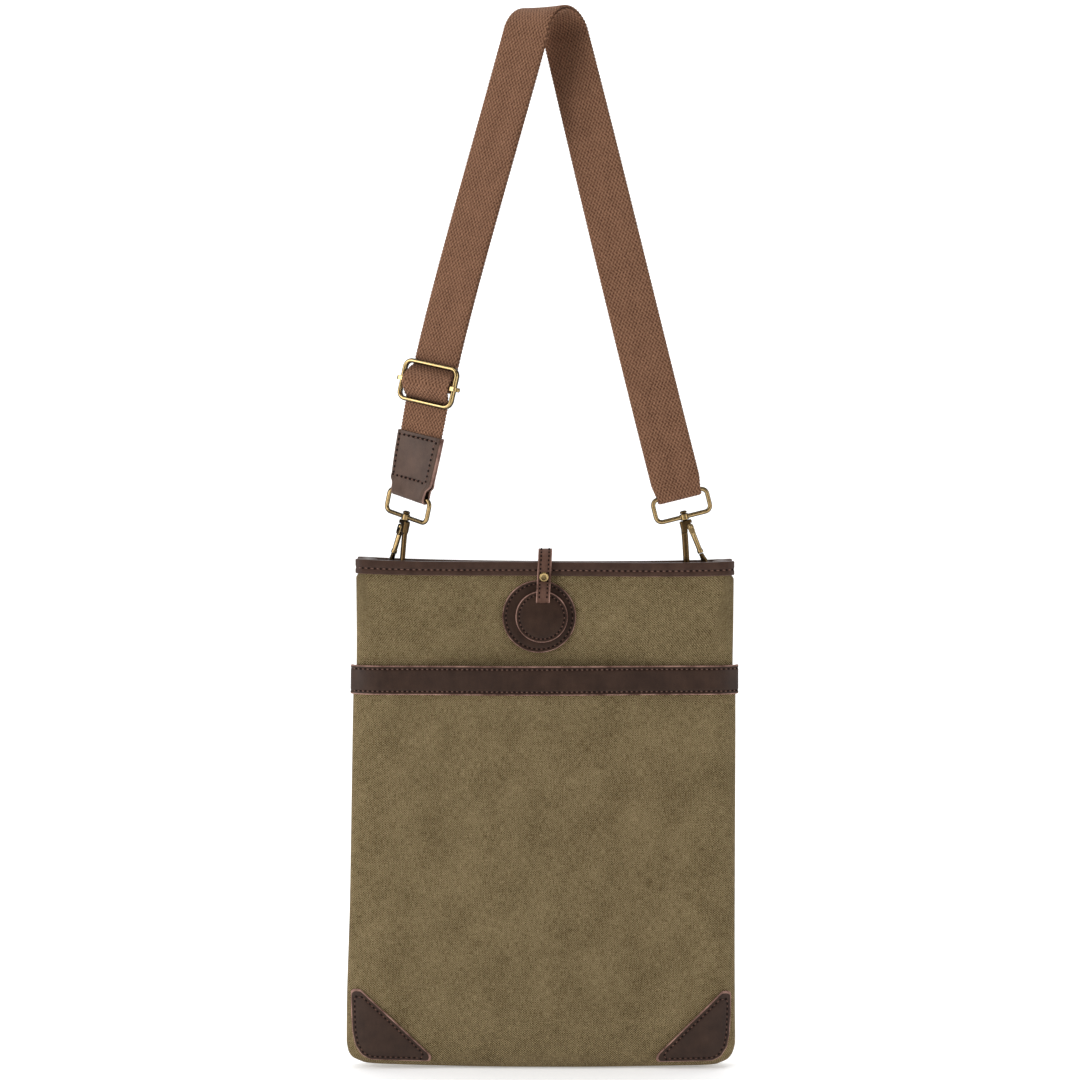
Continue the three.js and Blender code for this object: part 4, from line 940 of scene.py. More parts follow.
for sign in (-1, 1):
    aside = sign * np.array([tab_width / 2 - tab_inset, 0, 0])
    stations = list(zip(tab_centres, tab_thick))[4:-14]
    tab_runs.append([centre + aside + thick * (tab_half - thread_sink) for centre, thick in stations])
sew("tab_stitches", tab_runs, 2.7 * MM, radius=0.26 * MM)


# The rivet: a low turned brass cap with a rolled edge and a dished middle, pressed through the
# tab in front of the rim.
def paint_side_shade(piece, bright, dull):
    """Marks painted shade on a brass piece: its faces to the front and back, whose normals pass
    the bright share, keep their yellow, and its sides are painted dark below the dull share, as shade."""
    mesh = piece.data
    normals = np.zeros(len(mesh.vertices) * 3)
    mesh.vertex_normals.foreach_get("vector", normals)
    facing = np.abs(normals.reshape(-1, 3)[:, 1])
    side_shade_and_patina = np.clip((bright - facing) / (bright - dull), 0, 1)
    mesh.attributes.new("side_shade_and_patina", "FLOAT", "POINT").data.foreach_set("value", side_shade_and_patina)


def brass_finish(name, dark, light, roughness=0.34):
    """Antique brass: yellow where it is rubbed, and dark brown under its mark: painted shade on a
    piece's sides, and patina in a rivet's dish.
    """
    material, start = new_finish(name)
    where = start.placed()
    cloud = start.grain(where, (5 * MM,) * 3, 3.0)
    fine = start.grain(where, (0.6 * MM,) * 3, 3.0)
    # The mark darkens towards dark brown: painted shade on a piece's sides, patina in a rivet's dish.
    side_shade_and_patina = start.node("ShaderNodeAttribute", {"attribute_name": "side_shade_and_patina"}, out=2)
    rubbed = (0.62 + cloud * 1.1 + fine * 0.5).held()
    shade_and_patina_mix = (side_shade_and_patina + cloud * side_shade_and_patina * 0.8).held()
    colour = shade_and_patina_mix.mixed(rubbed.mixed(dark, light), srgb(38, 28, 17))
    rough = (roughness + 0.14 - rubbed * 0.14 + fine * 0.2).held(0.1, 0.9)
    close_finish(start, colour, rough, fine, 0.05 * MM, Metallic=1.0)
    return material


bright_brass = brass_finish("rubbed_brass", srgb(158, 124, 70), srgb(232, 204, 146), 0.2)
antique_brass = brass_finish("antique_brass", srgb(104, 78, 46), srgb(226, 194, 138), 0.22)
dark_brass = brass_finish("dark_brass", srgb(36, 26, 17), srgb(128, 101, 65), 0.24)


def round_angles(steps):
    return np.linspace(0, 2 * math.pi, steps, endpoint=False)


def turned(profile, steps):
    """Rings of a shape turned about Y, from rows of radius and distance forwards."""
    return [[(r * math.cos(a), -h, r * math.sin(a)) for a in round_angles(steps)] for r, h in profile]


rivet_height = 1.4 * MM
rivet_profile = [
    (0.02, 0.0), (0.6, 0.0), (1.0, 0.0), (1.0, 0.42), (0.975, 0.66), (0.92, 0.86), (0.84, 0.97),
    (0.76, 1.0), (0.69, 0.98), (0.63, 0.93), (0.58, 0.87), (0.5, 0.83), (0.34, 0.82), (0.02, 0.82),
]
rivet_rings = np.array(turned([(r * rivet_radius, h * rivet_height) for r, h in rivet_profile], 40))
rivet_gap = 0.1 * MM
rivet_rings += np.array([tab_x(rivet_z), -(tab_over_base + tab_half + rivet_gap), rivet_z])
# The cap's outer side is painted dark as shade, and its dish holds a little patina.
side_shade_and_dish_patina = np.array([[0.75 * (h < 0.9 and r > 0.9) + 0.3 * (r < 0.6)] for r, h in rivet_profile])
rivet = lay("tab_rivet_brass", rivet_rings, wrap_columns=True, marks={"side_shade_and_patina": side_shade_and_dish_patina})
fasten(rivet, bright_brass, "brass", "pouch_and_strap", "tab_rivet")


# Where each side's hardware sits: its axis runs up from the D-ring, which the hook's eye holds,
# through the swivel to the top bar of the strap's ring.
ring_height = 14.7 * MM
eye_radius = 6.5 * MM
eye_drop = 34 * MM
spine_across = 2.05 * MM
dring_wire = 1.25 * MM
dring_height = 11 * MM
dring_drop = 8.6 * MM
eye_gap = 0.35 * MM
sides = {
    "left": {
        "sign": -1, "bow": -2.6, "inset": 26.4, "lean": 11.8, "tip": 6, "pull": 1.25, "slack": 0.9,
        "ring_yaw": 40, "hook_yaw": 50, "dring_yaw": 14,
    },
    "right": {
        "sign": 1, "bow": -0.7, "inset": 22.2, "lean": 14, "tip": 0, "pull": 1, "slack": 0,
        "ring_yaw": 0, "hook_yaw": 0, "dring_yaw": 0,
    },
}


def hardware(side):
    up = Vector((
        -side["sign"] * math.tan(math.radians(side["lean"])),
        -math.tan(math.radians(side["tip"])),
        1,
    )).normalized()
    wire = Vector((side["sign"] * (half_width - side["inset"] * MM), 0, rim_z - dring_drop))
    boss = wire + up * (eye_drop + eye_radius - spine_across - dring_wire - eye_gap)
    return {"up": up, "wire": wire, "boss": boss, "bar": boss + up * ring_height}


def turned_place(up, yaw, place):
    """A place whose Z is up and whose front is turned left by yaw degrees."""
    turn = math.radians(yaw)
    front = Vector((-math.sin(turn), -math.cos(turn), 0))
    back = -(front - up * front.dot(up)).normalized()
    right = back.cross(up)
    return Matrix.Translation(place) @ Matrix((right, back, up)).transposed().to_4x4()


# The strap: plain brown webbing in a herringbone weave. It is sewn into a leather end at the
# left ring, threads the slider, and runs doubled over the crown to the right ring and back.
web_thickness = 1.6 * MM
web_half = 15.6 * MM
loop_half = 14.1 * MM
loop_taper = 9 * MM
hanger_radius = 12.5 * MM
crown_yaw = math.radians(28)
crown_slant = math.radians(16)
crown_shift = 1.9 * MM
bend_ease = 0.15 * MM
ring_wire = 1.45 * MM
slider_rise = 71 * MM
slider_height = 27.4 * MM
slider_wire = 3 * MM
slider_depth = 4.4 * MM
slider_bar = 1.4 * MM
end_length = 39 * MM
web_tuck = 25 * MM
layer_offset = (web_thickness + clearance) / 2
crown_radius = hanger_radius + web_thickness + clearance / 2
crown_centre = np.array([crown_shift, 0, -hanger_radius])
hanger_axis = np.array([math.cos(crown_yaw), -math.sin(crown_yaw), 0])
crown_front = np.array([-math.sin(crown_yaw), -math.cos(crown_yaw), 0])
slant_run = crown_radius * math.tan(crown_slant)
read_yaw = {
    "left": smooth_table([(0, 0), (0.8, 0.02), (0.9, 0.3), (1, 1)]),
    "right": smooth_table([(0, 0), (0.25, 0.32), (0.5, 0.62), (1, 1)]),
}


def unit(v):
    return v / np.linalg.norm(v)


def crown_point(turn):
    outward = crown_front * -math.sin(turn) + np.array([0, 0, math.cos(turn)])
    return crown_centre + outward * crown_radius + hanger_axis * slant_run * turn, outward


def crown_way(turn):
    way = crown_front * -math.cos(turn) * crown_radius
    way[2] -= math.sin(turn) * crown_radius
    return unit(way + hanger_axis * slant_run)


def leg_points(name, steps):
    side = sides[name]
    sign = side["sign"]
    fittings = hardware(side)
    top = crown_point(sign * math.pi / 2)[0]
    low = np.array(fittings["bar"])
    length = np.linalg.norm(top - low)
    leave = crown_way(sign * math.pi / 2) * sign * length * side["pull"]
    arrive = np.array(fittings["up"]) * -length
    found = []
    for t in np.linspace(0, 1, steps + 1):
        place = top * (2 * t**3 - 3 * t**2 + 1) + leave * (t**3 - 2 * t**2 + t)
        place += low * (3 * t**2 - 2 * t**3) + arrive * (t**3 - t**2)
        share = read_yaw[name](t)[0]
        yaw = crown_yaw + (math.radians(side["ring_yaw"]) - crown_yaw) * share
        place = place + np.array([4 * t * (1 - t) * side["bow"] * MM, 0, 0])
        found.append((place, sign * np.array([math.sin(yaw), math.cos(yaw), 0])))
    return found


strap_line = leg_points("left", 100)[::-1]
strap_line += [crown_point(turn) for turn in np.radians(np.linspace(-90, 90, 60))[1:-1]]
strap_line += leg_points("right", 100)
strap_places = np.array([p for p, outward in strap_line])
strap_outward = np.array([outward for p, outward in strap_line])
strap_along = run_lengths(strap_places)
strap_length = strap_along[-1]
strap_forward = np.gradient(strap_places, strap_along, axis=0)
strap_forward[0] = np.array(hardware(sides["left"])["up"])
strap_forward[-1] = -np.array(hardware(sides["right"])["up"])


def strap_frame(along):
    """Place, forward, outward and sideways on the strap's middle line, at a distance from the
    left ring's bar. Past its two ends the line runs straight on."""
    place, forward, outward = (
        np.array([np.interp(along, strap_along, line[:, i]) for i in range(3)])
        for line in (strap_places, strap_forward, strap_outward)
    )
    forward = unit(forward)
    outward = unit(outward - forward * outward.dot(forward))
    beyond = min(along, 0) + max(along - strap_length, 0)
    return place + forward * beyond, forward, outward, np.cross(forward, outward)


def strap_stations(line):
    """Centres, sideways and thickness directions of a band that follows a belt path."""
    ways = np.gradient(line, axis=0)
    ways /= np.linalg.norm(ways, axis=1)[:, None]
    centres, across, normals = [], [], []
    for (u, v), (along, off) in zip(line, ways):
        place, forward, outward, sideways = strap_frame(u)
        centres.append(place + outward * v)
        across.append(sideways)
        normals.append(outward * along - forward * off)
    return centres, across, normals


def webbing_finish(name, dark, light):
    """Woven tape: rows of short raised threads that lean to the left and right in turn."""
    column = 2.3 * MM
    pitch = 3.8 * MM
    lean = 0.5
    material, start = new_finish(name)
    where = start.mapped()
    across = start.node("ShaderNodeSeparateXYZ", {}, {0: where}, out=0)
    along = start.node("ShaderNodeSeparateXYZ", {}, {0: where}, out=1)
    stray = start.grain(where, (1.2 * MM, 1.2 * MM), 2.0)
    soft = start.grain(where, (9 * MM, 16 * MM))
    slant = start.maths("PINGPONG", along, 0.5 * pitch) * lean
    rows = start.maths("SINE", along * (2 * math.pi / pitch) + stray)
    columns = start.maths("SINE", (across + slant) * (2 * math.pi / column) + stray)
    bumps = rows * columns
    tone = 0.4 + bumps * 0.3 + stray * 0.9 + soft * 0.25
    colour = tone.held().mixed(dark, light)
    close_finish(
        start, colour, 0.85, bumps * 0.5 + stray * 0.6, 0.35 * MM,
        Sheen_Weight=0.05, Sheen_Roughness=0.45, Specular_IOR_Level=0.15,
    )
    return material


webbing = webbing_finish("brown_webbing", srgb(60, 33, 20), srgb(170, 126, 98))
slider_v = layer_offset + web_thickness / 2 + clearance + slider_depth / 2
bar_u = slider_height / 2 - slider_wire / 2
bar_back_v = slider_v - slider_depth / 2 + slider_wire / 2
over_back = slider_wire / 2 + clearance + bend_ease + web_thickness / 2
over_bar = slider_bar + clearance + bend_ease + web_thickness / 2
over_loop = over_bar + web_thickness + clearance
ring_turn = ring_wire + clearance + bend_ease + web_thickness / 2
ease_back = 12 * MM
ring_ease = 14 * MM
web_rows = [
    (end_length - web_tuck, 0, 0),
    (end_length + 3 * MM, 0, 0),
    (slider_rise - bar_u, bar_back_v, over_back),
    (slider_rise, slider_v, -over_loop),
    (slider_rise + bar_u, bar_back_v, over_back),
    (slider_rise + bar_u + ease_back, layer_offset, 0),
    (strap_length - ring_ease, layer_offset, 0),
    (strap_length, 0, -ring_turn),
    (strap_length - ring_ease, -layer_offset, 0),
    (slider_rise + bar_u + ease_back, -layer_offset, 0),
    (slider_rise + bar_u, bar_back_v, -over_back - web_thickness - clearance),
    (slider_rise, slider_v, -over_bar, -205),
]
web_step = 0.55 * MM
web_line = belt(web_rows, 8, web_step)
spread = 1.6 * MM
selvedge_wave = 2.2 * MM
selvedge_height = 0.26 * MM
drawn_thickness = web_thickness + 0.22 * MM
web_grid = []
stations = zip(web_line, *strap_stations(web_line))
for index, ((u, v), centre, across, normal) in enumerate(stations):
    share = min(max((strap_length - u) / loop_taper, 0), 1)
    half = loop_half + (web_half - loop_half) * share
    if v > layer_offset + web_thickness:
        half += spread * math.exp(-(((u - slider_rise) / (0.35 * slider_height)) ** 2))
    wave = selvedge_height * math.sin(2 * math.pi * index * web_step / selvedge_wave)
    levels = [(wave, 0), (wave - 0.25 * MM, 0.36), (-0.8 * MM, 0.8), (-1.8 * MM, 1), (-half * 0.5, 1)]
    half_ring = [(-half - a, level) for a, level in levels] + [(0, 1)]
    levels = [(-wave, 0), (-wave - 0.25 * MM, 0.36), (-0.8 * MM, 0.8), (-1.8 * MM, 1), (-half * 0.5, 1)]
    half_ring += [(half + a, level) for a, level in levels[::-1]]
    ring = half_ring + [(a, -level) for a, level in half_ring[-2:0:-1]]
    web_grid.append([centre + across * a + normal * level * drawn_thickness / 2 for a, level in ring])
strap_webbing = lay("strap_webbing_tape", web_grid, wrap_columns=True)
fasten(strap_webbing, webbing, "webbing", "pouch_and_strap", "strap_webbing")


# The leather end of the strap: one piece folded round the left ring's top bar, with the webbing
# between its two plies and a box of stitches through all three.
end_half_width = 16.75 * MM
read_end_half = smooth_table([
    (0, loop_half), (4.5 * MM, 14.4 * MM), (8.5 * MM, end_half_width), (end_length, end_half_width),
])
end_inset = 2.6 * MM
ply_offset = web_thickness / 2 + clearance + leather_thickness / 2
end_turn = ring_wire + clearance + bend_ease + leather_thickness / 2
shoulder_low, shoulder_top = 4.5 * MM, 12 * MM
shoulder_v = end_turn + (ply_offset - end_turn) * 0.35
end_rows = [
    (end_length, ply_offset, 0),
    (shoulder_top, ply_offset, 0),
    (shoulder_low, shoulder_v, 0),
    (0, 0, end_turn),
    (shoulder_low, -shoulder_v, 0),
    (shoulder_top, -ply_offset, 0),
    (end_length, -ply_offset, 0),
]
pinch_length = 6 * MM
end_line = belt(end_rows, 6, web_step)
end_half = [read_end_half(u)[0] for u, v in end_line]
pressed = [min(max((u - shoulder_low) / pinch_length, 0), 1) for u, v in end_line]
end_pinch = [(ply_offset - leather_thickness / 2) * share for share in pressed]
# The end's leather is paler: partly its own tone, partly painted light where it faces the light from the
# upper left.
end_leather = leather_finish("paler_lit_end_leather", srgb(58, 40, 31), srgb(98, 76, 64))
strap_end = ribbon(
    "strap_end_folded_leather", *strap_stations(end_line), end_half, leather_thickness, end_inset,
    end_pinch,
)
fasten(strap_end, end_leather, "leather", "pouch_and_strap", "strap_end_leather")
box_low, box_high = 10 * MM, end_length - end_inset
box_left, box_right = end_inset - end_half_width, end_half_width - 1.6 * end_inset
end_face = ply_offset + leather_thickness / 2 - thread_sink


def end_point(u, across, sign):
    place, forward, outward, sideways = strap_frame(u)
    return place + outward * sign * end_face + sideways * across


end_runs = []
for sign in (-1, 1):
    box = [(u, box_left) for u in np.linspace(box_low, box_high, 20)]
    box += [(box_high, a) for a in np.linspace(box_left, box_right, 20)[1:]]
    box += [(u, box_right) for u in np.linspace(box_high, box_low, 20)[1:]]
    box += [(box_low, a) for a in np.linspace(box_right, box_left, 20)[1:-1]]
    end_runs.append([end_point(u, a, sign) for u, a in box])
sew("strap_end_stitches", end_runs, 3.5 * MM, radius=0.42 * MM)


# The slider: a cast brass frame with a groove round its outer side, and a middle bar whose two
# collars ride on the side wires, each with a small round knob outside.
slider_width = 41 * MM
slider_corner = 6 * MM


def box_loop(width, depth, radius, steps=5):
    """A rounded rectangle's points across and deep."""
    loop = []
    for sx, sy, start in ((1, 1, 0), (-1, 1, 90), (-1, -1, 180), (1, -1, 270)):
        for angle in np.radians(start + np.linspace(0, 90, steps)):
            x = sx * (width / 2 - radius) + radius * math.cos(angle)
            loop.append((x, sy * (depth / 2 - radius) + radius * math.sin(angle)))
    return loop


def round_loop(width, height, radius, steps):
    """Points of a rounded rectangle about the origin of the X, Z plane, evenly set."""
    return evenly([(x, 0, z) for x, z in box_loop(width, height, radius, 9)], steps)


def wire(line, axis, section, closed=True):
    """Rings of a section along a line. A section's points are across the line and along axis."""
    line = np.array(line, float)
    count = len(line)
    rings = []
    for i, point in enumerate(line):
        before = line[i - 1] if closed or i else line[0]
        after = line[(i + 1) % count] if closed or i < count - 1 else line[-1]
        across = unit(np.cross(unit(after - before), axis))
        parts = section(i / max(count - 1, 1)) if callable(section) else section
        rings.append([point + across * a + np.array(axis) * d for a, d in parts])
    return np.array(rings)


def oval(across, deep, steps=20):
    return [(across * math.cos(a), deep * math.sin(a)) for a in round_angles(steps)]


def grooved_oval(across, deep, steps=36):
    """An oval with a fine groove in the side that faces out of the frame."""
    points = []
    for a in round_angles(steps):
        off = math.degrees(a if a < math.pi else a - 2 * math.pi)
        cut = 1 - 0.2 * math.exp(-((off / 12) ** 2))
        points.append((across * math.cos(a) * cut, deep * math.sin(a)))
    return points


def set_in(grid, matrix):
    turn = np.array(matrix.to_3x3())
    return np.array(grid) @ turn.T + np.array(matrix.translation)


place, forward, outward, sideways = strap_frame(slider_rise)
slider_place = Matrix((Vector(sideways), Vector(-outward), Vector(forward))).transposed().to_4x4()
slider_place.translation = Vector(place + outward * slider_v)
y_axis = np.array([0.0, 1.0, 0.0])
frame_size = (slider_width - slider_wire, slider_height - slider_wire)
frame_loop = round_loop(*frame_size, slider_corner - slider_wire / 2, 160)
frame_rings = wire(frame_loop, y_axis, grooved_oval(slider_wire / 2, slider_depth / 2))
slider_frame = lay("slider_frame_brass", set_in(frame_rings, slider_place), True, True)
# Painted shade on the frame's sides.
paint_side_shade(slider_frame, 0.97, 0.62)
fasten(slider_frame, bright_brass, "brass", "pouch_and_strap", "slider_frame")

side_x = (slider_width - slider_wire) / 2
collar_wall = 1.1 * MM
collar_height = 2.8 * MM
knob_radius = 1.4 * MM


def plain_mesh(name, grids):
    """Several closed shells in one mesh, for a casting whose parts flow into each other."""
    whole = bmesh.new()
    for grid, wrap_rows, wrap_columns in grids:
        shell_piece = lay(name + "_shell", grid, wrap_rows, wrap_columns)
        whole.from_mesh(shell_piece.data)
        bpy.data.objects.remove(shell_piece)
    mesh = bpy.data.meshes.new(name)
    whole.to_mesh(mesh)
    whole.free()
    return put(name, mesh)


def cast(name, grids, voxel, smoothing=4):
    """Closed shells melted into one skin and eased, as a casting's corners are."""
    piece = plain_mesh(name, grids)
    melt = piece.modifiers.new("melt", "REMESH")
    melt.mode = "VOXEL"
    melt.voxel_size = voxel
    melt.use_smooth_shade = True
    ease = piece.modifiers.new("ease", "SMOOTH")
    ease.factor = 0.5
    ease.iterations = smoothing
    bpy.context.view_layer.update()
    evaluated = piece.evaluated_get(bpy.context.evaluated_depsgraph_get())
    mesh = bpy.data.meshes.new_from_object(evaluated)
    piece.modifiers.clear()
    piece.data = mesh
    mesh.polygons.foreach_set("use_smooth", [True] * len(mesh.polygons))
    return piece


def rod(points, radii, steps=20):
    """Rings of a round bar through points, with a radius at each."""
    points = [np.array(p, float) for p in points]
    rings = []
    for i, (point, radius) in enumerate(zip(points, radii)):
        way = unit(points[min(i + 1, len(points) - 1)] - points[max(i - 1, 0)])
        helper = np.array([0.0, 1.0, 0.0]) if abs(way[1]) < 0.9 else np.array([1.0, 0.0, 0.0])
        a = unit(np.cross(way, helper))
        b = np.cross(way, a)
        turns = round_angles(steps)
        rings.append([point + (a * math.cos(t) + b * math.sin(t)) * radius for t in turns])
    return rings


def ball(centre, radius, steps=16):
    """Rings of a ball, closed at its poles by tiny faces."""
    rings = []
    for angle in np.linspace(math.radians(2), math.radians(178), steps):
        x = centre[0] + radius * math.cos(angle)
        r = radius * math.sin(angle)
        turns = round_angles(2 * steps)
        rings.append([(x, centre[1] + r * math.cos(t), centre[2] + r * math.sin(t)) for t in turns])
    return rings


bar_end = side_x - slider_wire / 2 - clearance
bar_grid = rod([(-bar_end, 0, 0), (bar_end, 0, 0)], [slider_bar] * 2, 28)
bar_shells = [(set_in(bar_grid, slider_place), False, True)]
bore = (slider_wire + 2 * clearance, slider_depth + 2 * clearance)
outer = box_loop(bore[0] + 2 * collar_wall, bore[1] + 2 * collar_wall, 1.6 * MM)
inner = box_loop(*bore, 1.4 * MM)
collar_rows = [(outer, -1), (outer, 1), (inner, 1), (inner, -1)]
knob_x = side_x + slider_wire / 2 + clearance + collar_wall
for sign in (-1, 1):
    collar = [
        [(sign * side_x + x, y, level * collar_height / 2) for x, y in loop]
        for loop, level in collar_rows
    ]
    bar_shells.append((set_in(collar, slider_place), True, True))
    knob = ball((sign * knob_x, 0, 0), knob_radius)
    bar_shells.append((set_in(knob, slider_place), False, True))
slider_bar_piece = cast("slider_bar_brass", bar_shells, 0.2 * MM, 3)
# Painted shade on the bar's sides.
paint_side_shade(slider_bar_piece, 0.97, 0.5)
fasten(slider_bar_piece, bright_brass, "brass", "pouch_and_strap", "slider_bar")


# The rings, hooks and gates on both sides. A ring is a wire loop with a bored boss, in which the
# hook's post turns. A hook is one casting: post, block, spine, eye and nose. Its gate is a rod
# with two cheeks, pinned to the block's tongue, which springs shut against the nose.
ring_width = 38.2 * MM
ring_corner = 3.75 * MM
boss_radius = 2.7 * MM
boss_height = 4 * MM
post_radius = 1.4 * MM
head_radius = 2.3 * MM
head_height = 1.7 * MM
block_width, block_depth, block_height = 8 * MM, 4.4 * MM, 7.7 * MM
spine_deep = 1.5 * MM
spine_top = 2.1 * MM
nose_radius = 1.5 * MM
gate_radius = 1.85 * MM
gate_length = 18.2 * MM
gate_root = 2 * MM
gate_pivot = np.array([2.2 * MM, 0, -7 * MM])
gate_lean = math.radians(8)
tongue = 1.4 * MM
pin_radius = 0.75 * MM
gate_way = np.array([math.sin(gate_lean), 0, -math.cos(gate_lean)])
gate_end = gate_pivot + gate_way * gate_length
nose_start = gate_end + gate_way * clearance
block_top = -boss_height / 2 - clearance
block_low = block_top - block_height


def ring_shells():
    loop = round_loop(ring_width - 2 * ring_wire, ring_height, ring_corner, 120)
    loop[:, 2] -= ring_height / 2
    start = int(np.argmin(np.hypot(loop[:, 0] + 0.1 * MM, loop[:, 2] + ring_height)))
    loop = np.roll(loop, -start, axis=0)
    open_loop = [p for p in loop if not (abs(p[0]) < 2.1 * MM and p[2] < -ring_height / 2)]
    top, bore_radius, chamfer = boss_height / 2, 1.7 * MM, 0.3 * MM
    bored = [
        (bore_radius, -top), (boss_radius - chamfer, -top), (boss_radius, chamfer - top),
        (boss_radius, top - chamfer), (boss_radius - chamfer, top), (bore_radius, top),
    ]
    angles = round_angles(32)
    boss = [[(r * math.cos(a), r * math.sin(a), h - ring_height) for a in angles] for r, h in bored]
    return [
        (wire(open_loop, y_axis, oval(ring_wire, ring_wire), closed=False), False, True),
        (boss, True, True),
    ]


def hook_shells():
    centre = np.array([0, 0, -eye_drop])
    line = [(-spine_top, 0, block_low + 2 * MM), (-spine_top - 0.6 * MM, 0, block_low - 3 * MM)]
    start, end = math.pi - gate_lean, 2 * math.pi + gate_lean
    for angle in np.linspace(start, end, 30):
        line.append(centre + eye_radius * np.array([math.cos(angle), 0, math.sin(angle)]))
    line += [nose_start + gate_way * 1.5 * MM, nose_start]
    line = evenly(line, 90, closed=False)
    for _ in range(6):
        line[1:-1] = 0.5 * line[1:-1] + 0.25 * (line[:-2] + line[2:])

    def section(share):
        thin = min(max((share - 0.9) / 0.08, 0), 1)
        return oval(spine_across + (nose_radius - spine_across) * thin, spine_deep)

    spine = wire(line, y_axis, section, closed=False)
    plan = box_loop(block_width, block_depth, 1.5 * MM)
    left_plan = [(min(x, gate_pivot[0] - gate_root - clearance), y) for x, y in plan]
    cheek_top = gate_pivot[2] + gate_root + clearance
    corner, overlap = 0.5 * MM, 1 * MM
    upper = [[(0.86 * x, 0.86 * y, block_top) for x, y in plan]]
    upper += [[(x, y, z) for x, y in plan] for z in (block_top - corner, cheek_top)]
    lower = [[(x, y, z) for x, y in left_plan] for z in (block_top - overlap, block_low + corner)]
    lower += [[(0.9 * x - 0.2 * MM, 0.86 * y, block_low) for x, y in left_plan]]
    tongue_faces = (-tongue / 2, tongue / 2)
    disc_loop = gate_pivot[[0, 2]] + np.array(oval(gate_root, gate_root, 28))
    disc = [[(x, y, z) for x, z in disc_loop] for y in tongue_faces]
    web_left, web_right, web_low = -0.4 * MM, gate_pivot[0], gate_pivot[2] - 1.2 * MM
    web_box = [(web_left, cheek_top), (web_right, cheek_top), (web_right, web_low), (web_left, web_low)]
    web = [[(x, y, z) for x, z in web_box] for y in tongue_faces]
    post_low, post_high = block_top - overlap, boss_height / 2 + clearance
    post = rod([(0, 0, post_low), (0, 0, post_high + corner)], [post_radius] * 2)
    head_rows = [(0, 0.9), (0.2 * MM, 1), (1.1 * MM, 1), (head_height, 0.55)]
    head_points = [(0, 0, post_high + z) for z, share in head_rows]
    head = rod(head_points, [share * head_radius for z, share in head_rows], 24)
    return [(shape, False, True) for shape in (spine, upper, lower, disc, web, post, head)]


def gate_shells():
    """About the pivot, with the rod along -Z, before it is leant and put in its place."""
    rod_rows = [
        (2.3, 1.35), (2.8, 1.8), (6, 1.7), (15.6, 1.62),
        (15.9, 1.85), (16.1, 1.95), (17.9, 1.95), (18.2, 1.6),
    ]
    rod_rings = rod([(0, 0, -down * MM) for down, r in rod_rows], [r * MM for down, r in rod_rows], 24)
    shells = [(rod_rings, False, True)]
    cheek_loop = [(gate_root * math.cos(a), gate_root * math.sin(a)) for a in np.linspace(0, math.pi, 16)]
    cheek_loop += [(x * MM, z * MM) for x, z in ((-1.85, -3.4), (-1.6, -5), (1.6, -5), (1.85, -3.4))]
    inner, outer, chamfer = tongue / 2 + clearance, gate_radius, 0.25 * MM
    cheek_rows = [(inner, 1), (outer - chamfer, 1), (outer, 0.9)]
    pin_rows = [
        (0.15 * MM, 0.35 * MM), (0.5 * MM, 0.3 * MM), (pin_radius, 0.1 * MM), (pin_radius, -0.4 * MM),
    ]
    for sign in (-1, 1):
        cheek = [[(x * share, sign * y, z) for x, z in cheek_loop] for y, share in cheek_rows]
        shells.append((cheek, False, True))
        pin = turned([(r, -sign * (outer + h)) for r, h in pin_rows], 20)
        shells.append((pin, False, True))
    return shells


lean_gate = Matrix.Rotation(-gate_lean, 4, "Y")
lean_gate.translation = Vector(gate_pivot)


def dring_rings():
    """A D-ring about the middle of its round top, with its straight bar below."""
    width, corner = 15 * MM, 1.6 * MM
    radius = (width - 2 * dring_wire) / 2
    line = [(0, radius * math.cos(a), radius * (math.sin(a) - 1)) for a in np.linspace(0, math.pi, 33)]
    for sign, start in ((-1, 180), (1, 270)):
        for angle in np.radians(start + np.linspace(0, 90, 9)):
            y = sign * (radius - corner) + corner * math.cos(angle)
            line.append((0, y, -dring_height + corner + corner * math.sin(angle)))
    return wire(evenly(line, 96), np.array([1.0, 0.0, 0.0]), oval(dring_wire, dring_wire))


# The D-ring tabs: a narrow strip of leather sewn inside each side fold, up round the D-ring's
# straight bar and back down.
dring_tab_half = 4.5 * MM
dring_ply = 1.3 * MM
dring_tab_free = 24 * MM
dring_tab_sewn = 12 * MM


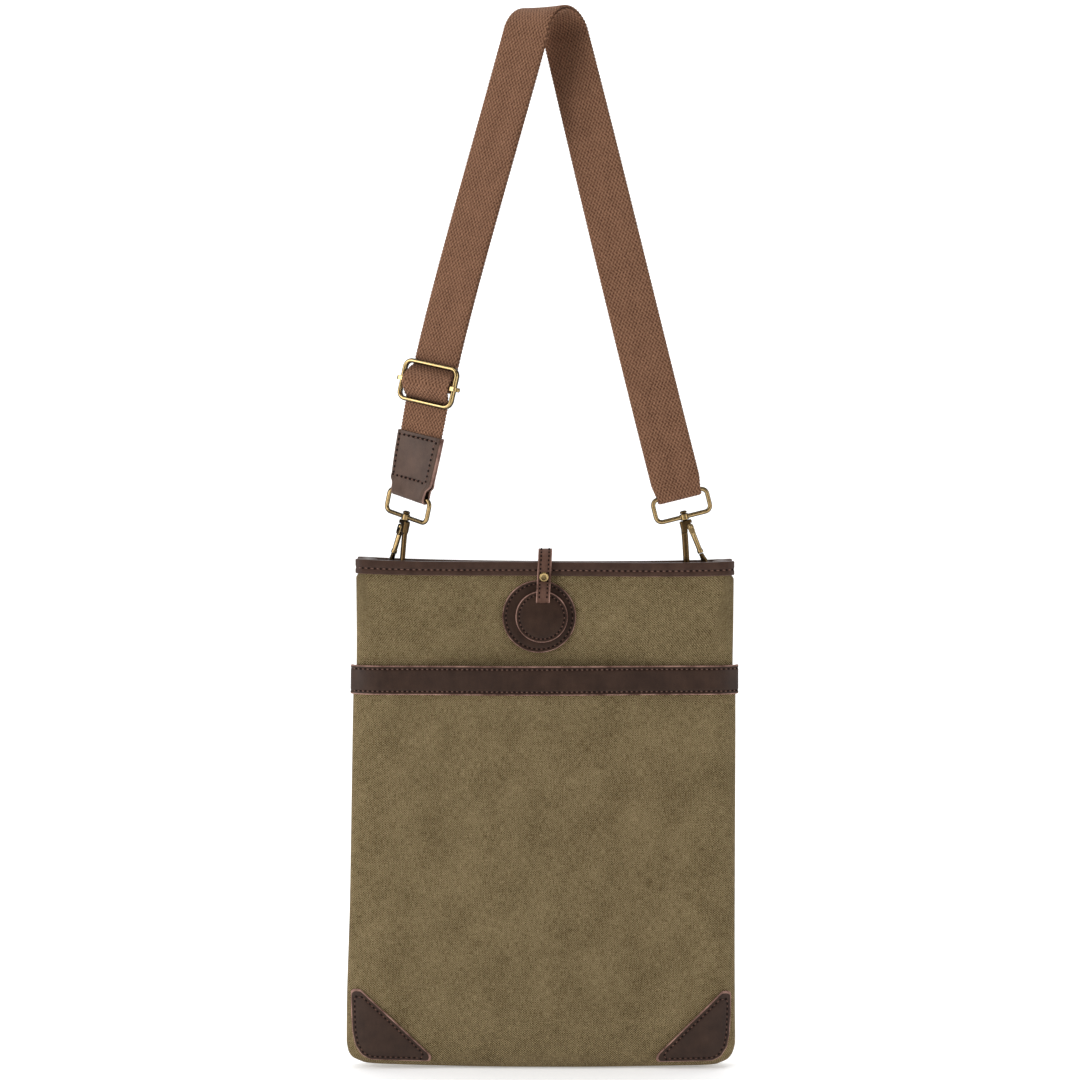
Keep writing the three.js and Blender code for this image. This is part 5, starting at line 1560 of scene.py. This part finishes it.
def dring_tab(name, side, bar_place):
    def wall_at(z):
        section = shell(section_at(z), -canvas_wall)
        return (section["left"] if side["sign"] < 0 else section["right"]) - section["fold"]

    sewn_top = bar_place.z - dring_tab_free
    sewn_low = sewn_top - dring_tab_sewn
    half = dring_ply / 2
    turn = dring_wire + clearance + bend_ease + half
    behind = dring_ply + clearance

    def at_wall(z):
        return wall_at(z) - clearance - abs(bar_place.x) - half

    rows = [
        (at_wall(sewn_low), sewn_low - bar_place.z, 0),
        (at_wall(sewn_top), sewn_top - bar_place.z, 0),
        (0, 0, turn),
        (at_wall(sewn_top) - behind, sewn_top - bar_place.z, 0),
        (at_wall(sewn_low) - behind, sewn_low - bar_place.z, 0),
    ]
    line = belt(rows, 8, 0.6 * MM)
    ways = np.gradient(line, axis=0)
    ways /= np.linalg.norm(ways, axis=1)[:, None]
    centres, across, normals = [], [], []
    for (u, v), (du, dv) in zip(line, ways):
        sewn = min(max(v / (sewn_top - bar_place.z), 0), 1)
        turned_by = Matrix.Rotation(-math.radians(side["dring_yaw"]) * (1 - sewn), 3, "Z")
        point = turned_by @ Vector((side["sign"] * u, 0, v)) + bar_place
        point.y -= bar_place.y * sewn
        centres.append(np.array(point))
        across.append(np.array(turned_by @ Vector((0, 1, 0))))
        normals.append(np.array(turned_by @ Vector((-side["sign"] * dv, 0, du))))
    return ribbon(name, centres, across, normals, dring_tab_half, dring_ply)


# Both sides' fittings: each shell is set in the place where its side hangs, cast in brass and
# given painted shade on its sides. The left ring, hook and gate are the mirror image of the right ones.
mirror = Matrix.Scale(-1, 4, Vector((1, 0, 0)))
for name, side in sides.items():
    fittings = hardware(side)
    flip = Matrix.Identity(4) if side["sign"] > 0 else mirror
    ring_place = turned_place(fittings["up"], side["ring_yaw"], fittings["bar"])
    hook_place = turned_place(fittings["up"], side["hook_yaw"], fittings["boss"])
    dring_top = fittings["wire"] + fittings["up"] * side["slack"] * MM
    dring_place = turned_place(fittings["up"], side["dring_yaw"], dring_top)
    ring_parts = [(set_in(g, ring_place), a, b) for g, a, b in ring_shells()]
    ring = cast(f"{name}_ring_brass", ring_parts, 0.24 * MM, 3)
    paint_side_shade(ring, 0.98, 0.68)
    fasten(ring, antique_brass, "brass", "pouch_and_strap", f"{name}_ring")
    hook_parts = [(set_in(g, hook_place @ flip), a, b) for g, a, b in hook_shells()]
    hook = cast(f"{name}_hook_brass", hook_parts, 0.2 * MM, 4)
    paint_side_shade(hook, 0.99, 0.62)
    fasten(hook, dark_brass, "brass", f"{name}_hook", f"{name}_hook")
    gate_parts = [(set_in(g, hook_place @ flip @ lean_gate), a, b) for g, a, b in gate_shells()]
    gate = cast(f"{name}_gate_brass", gate_parts, 0.16 * MM, 3)
    paint_side_shade(gate, 0.99, 0.6)
    fasten(gate, antique_brass, "brass", f"{name}_gate", f"{name}_gate")
    dring = lay(f"{name}_dring_brass", set_in(dring_rings(), dring_place), True, True)
    paint_side_shade(dring, 0.95, 0.5)
    fasten(dring, dark_brass, "brass", "pouch_and_strap", f"{name}_dring")
    bar_place = dring_place @ Vector((0, 0, -dring_height))
    tab_piece = dring_tab(f"{name}_dring_tab_leather", side, bar_place)
    fasten(tab_piece, leather, "leather", "pouch_and_strap", f"{name}_dring_tab")
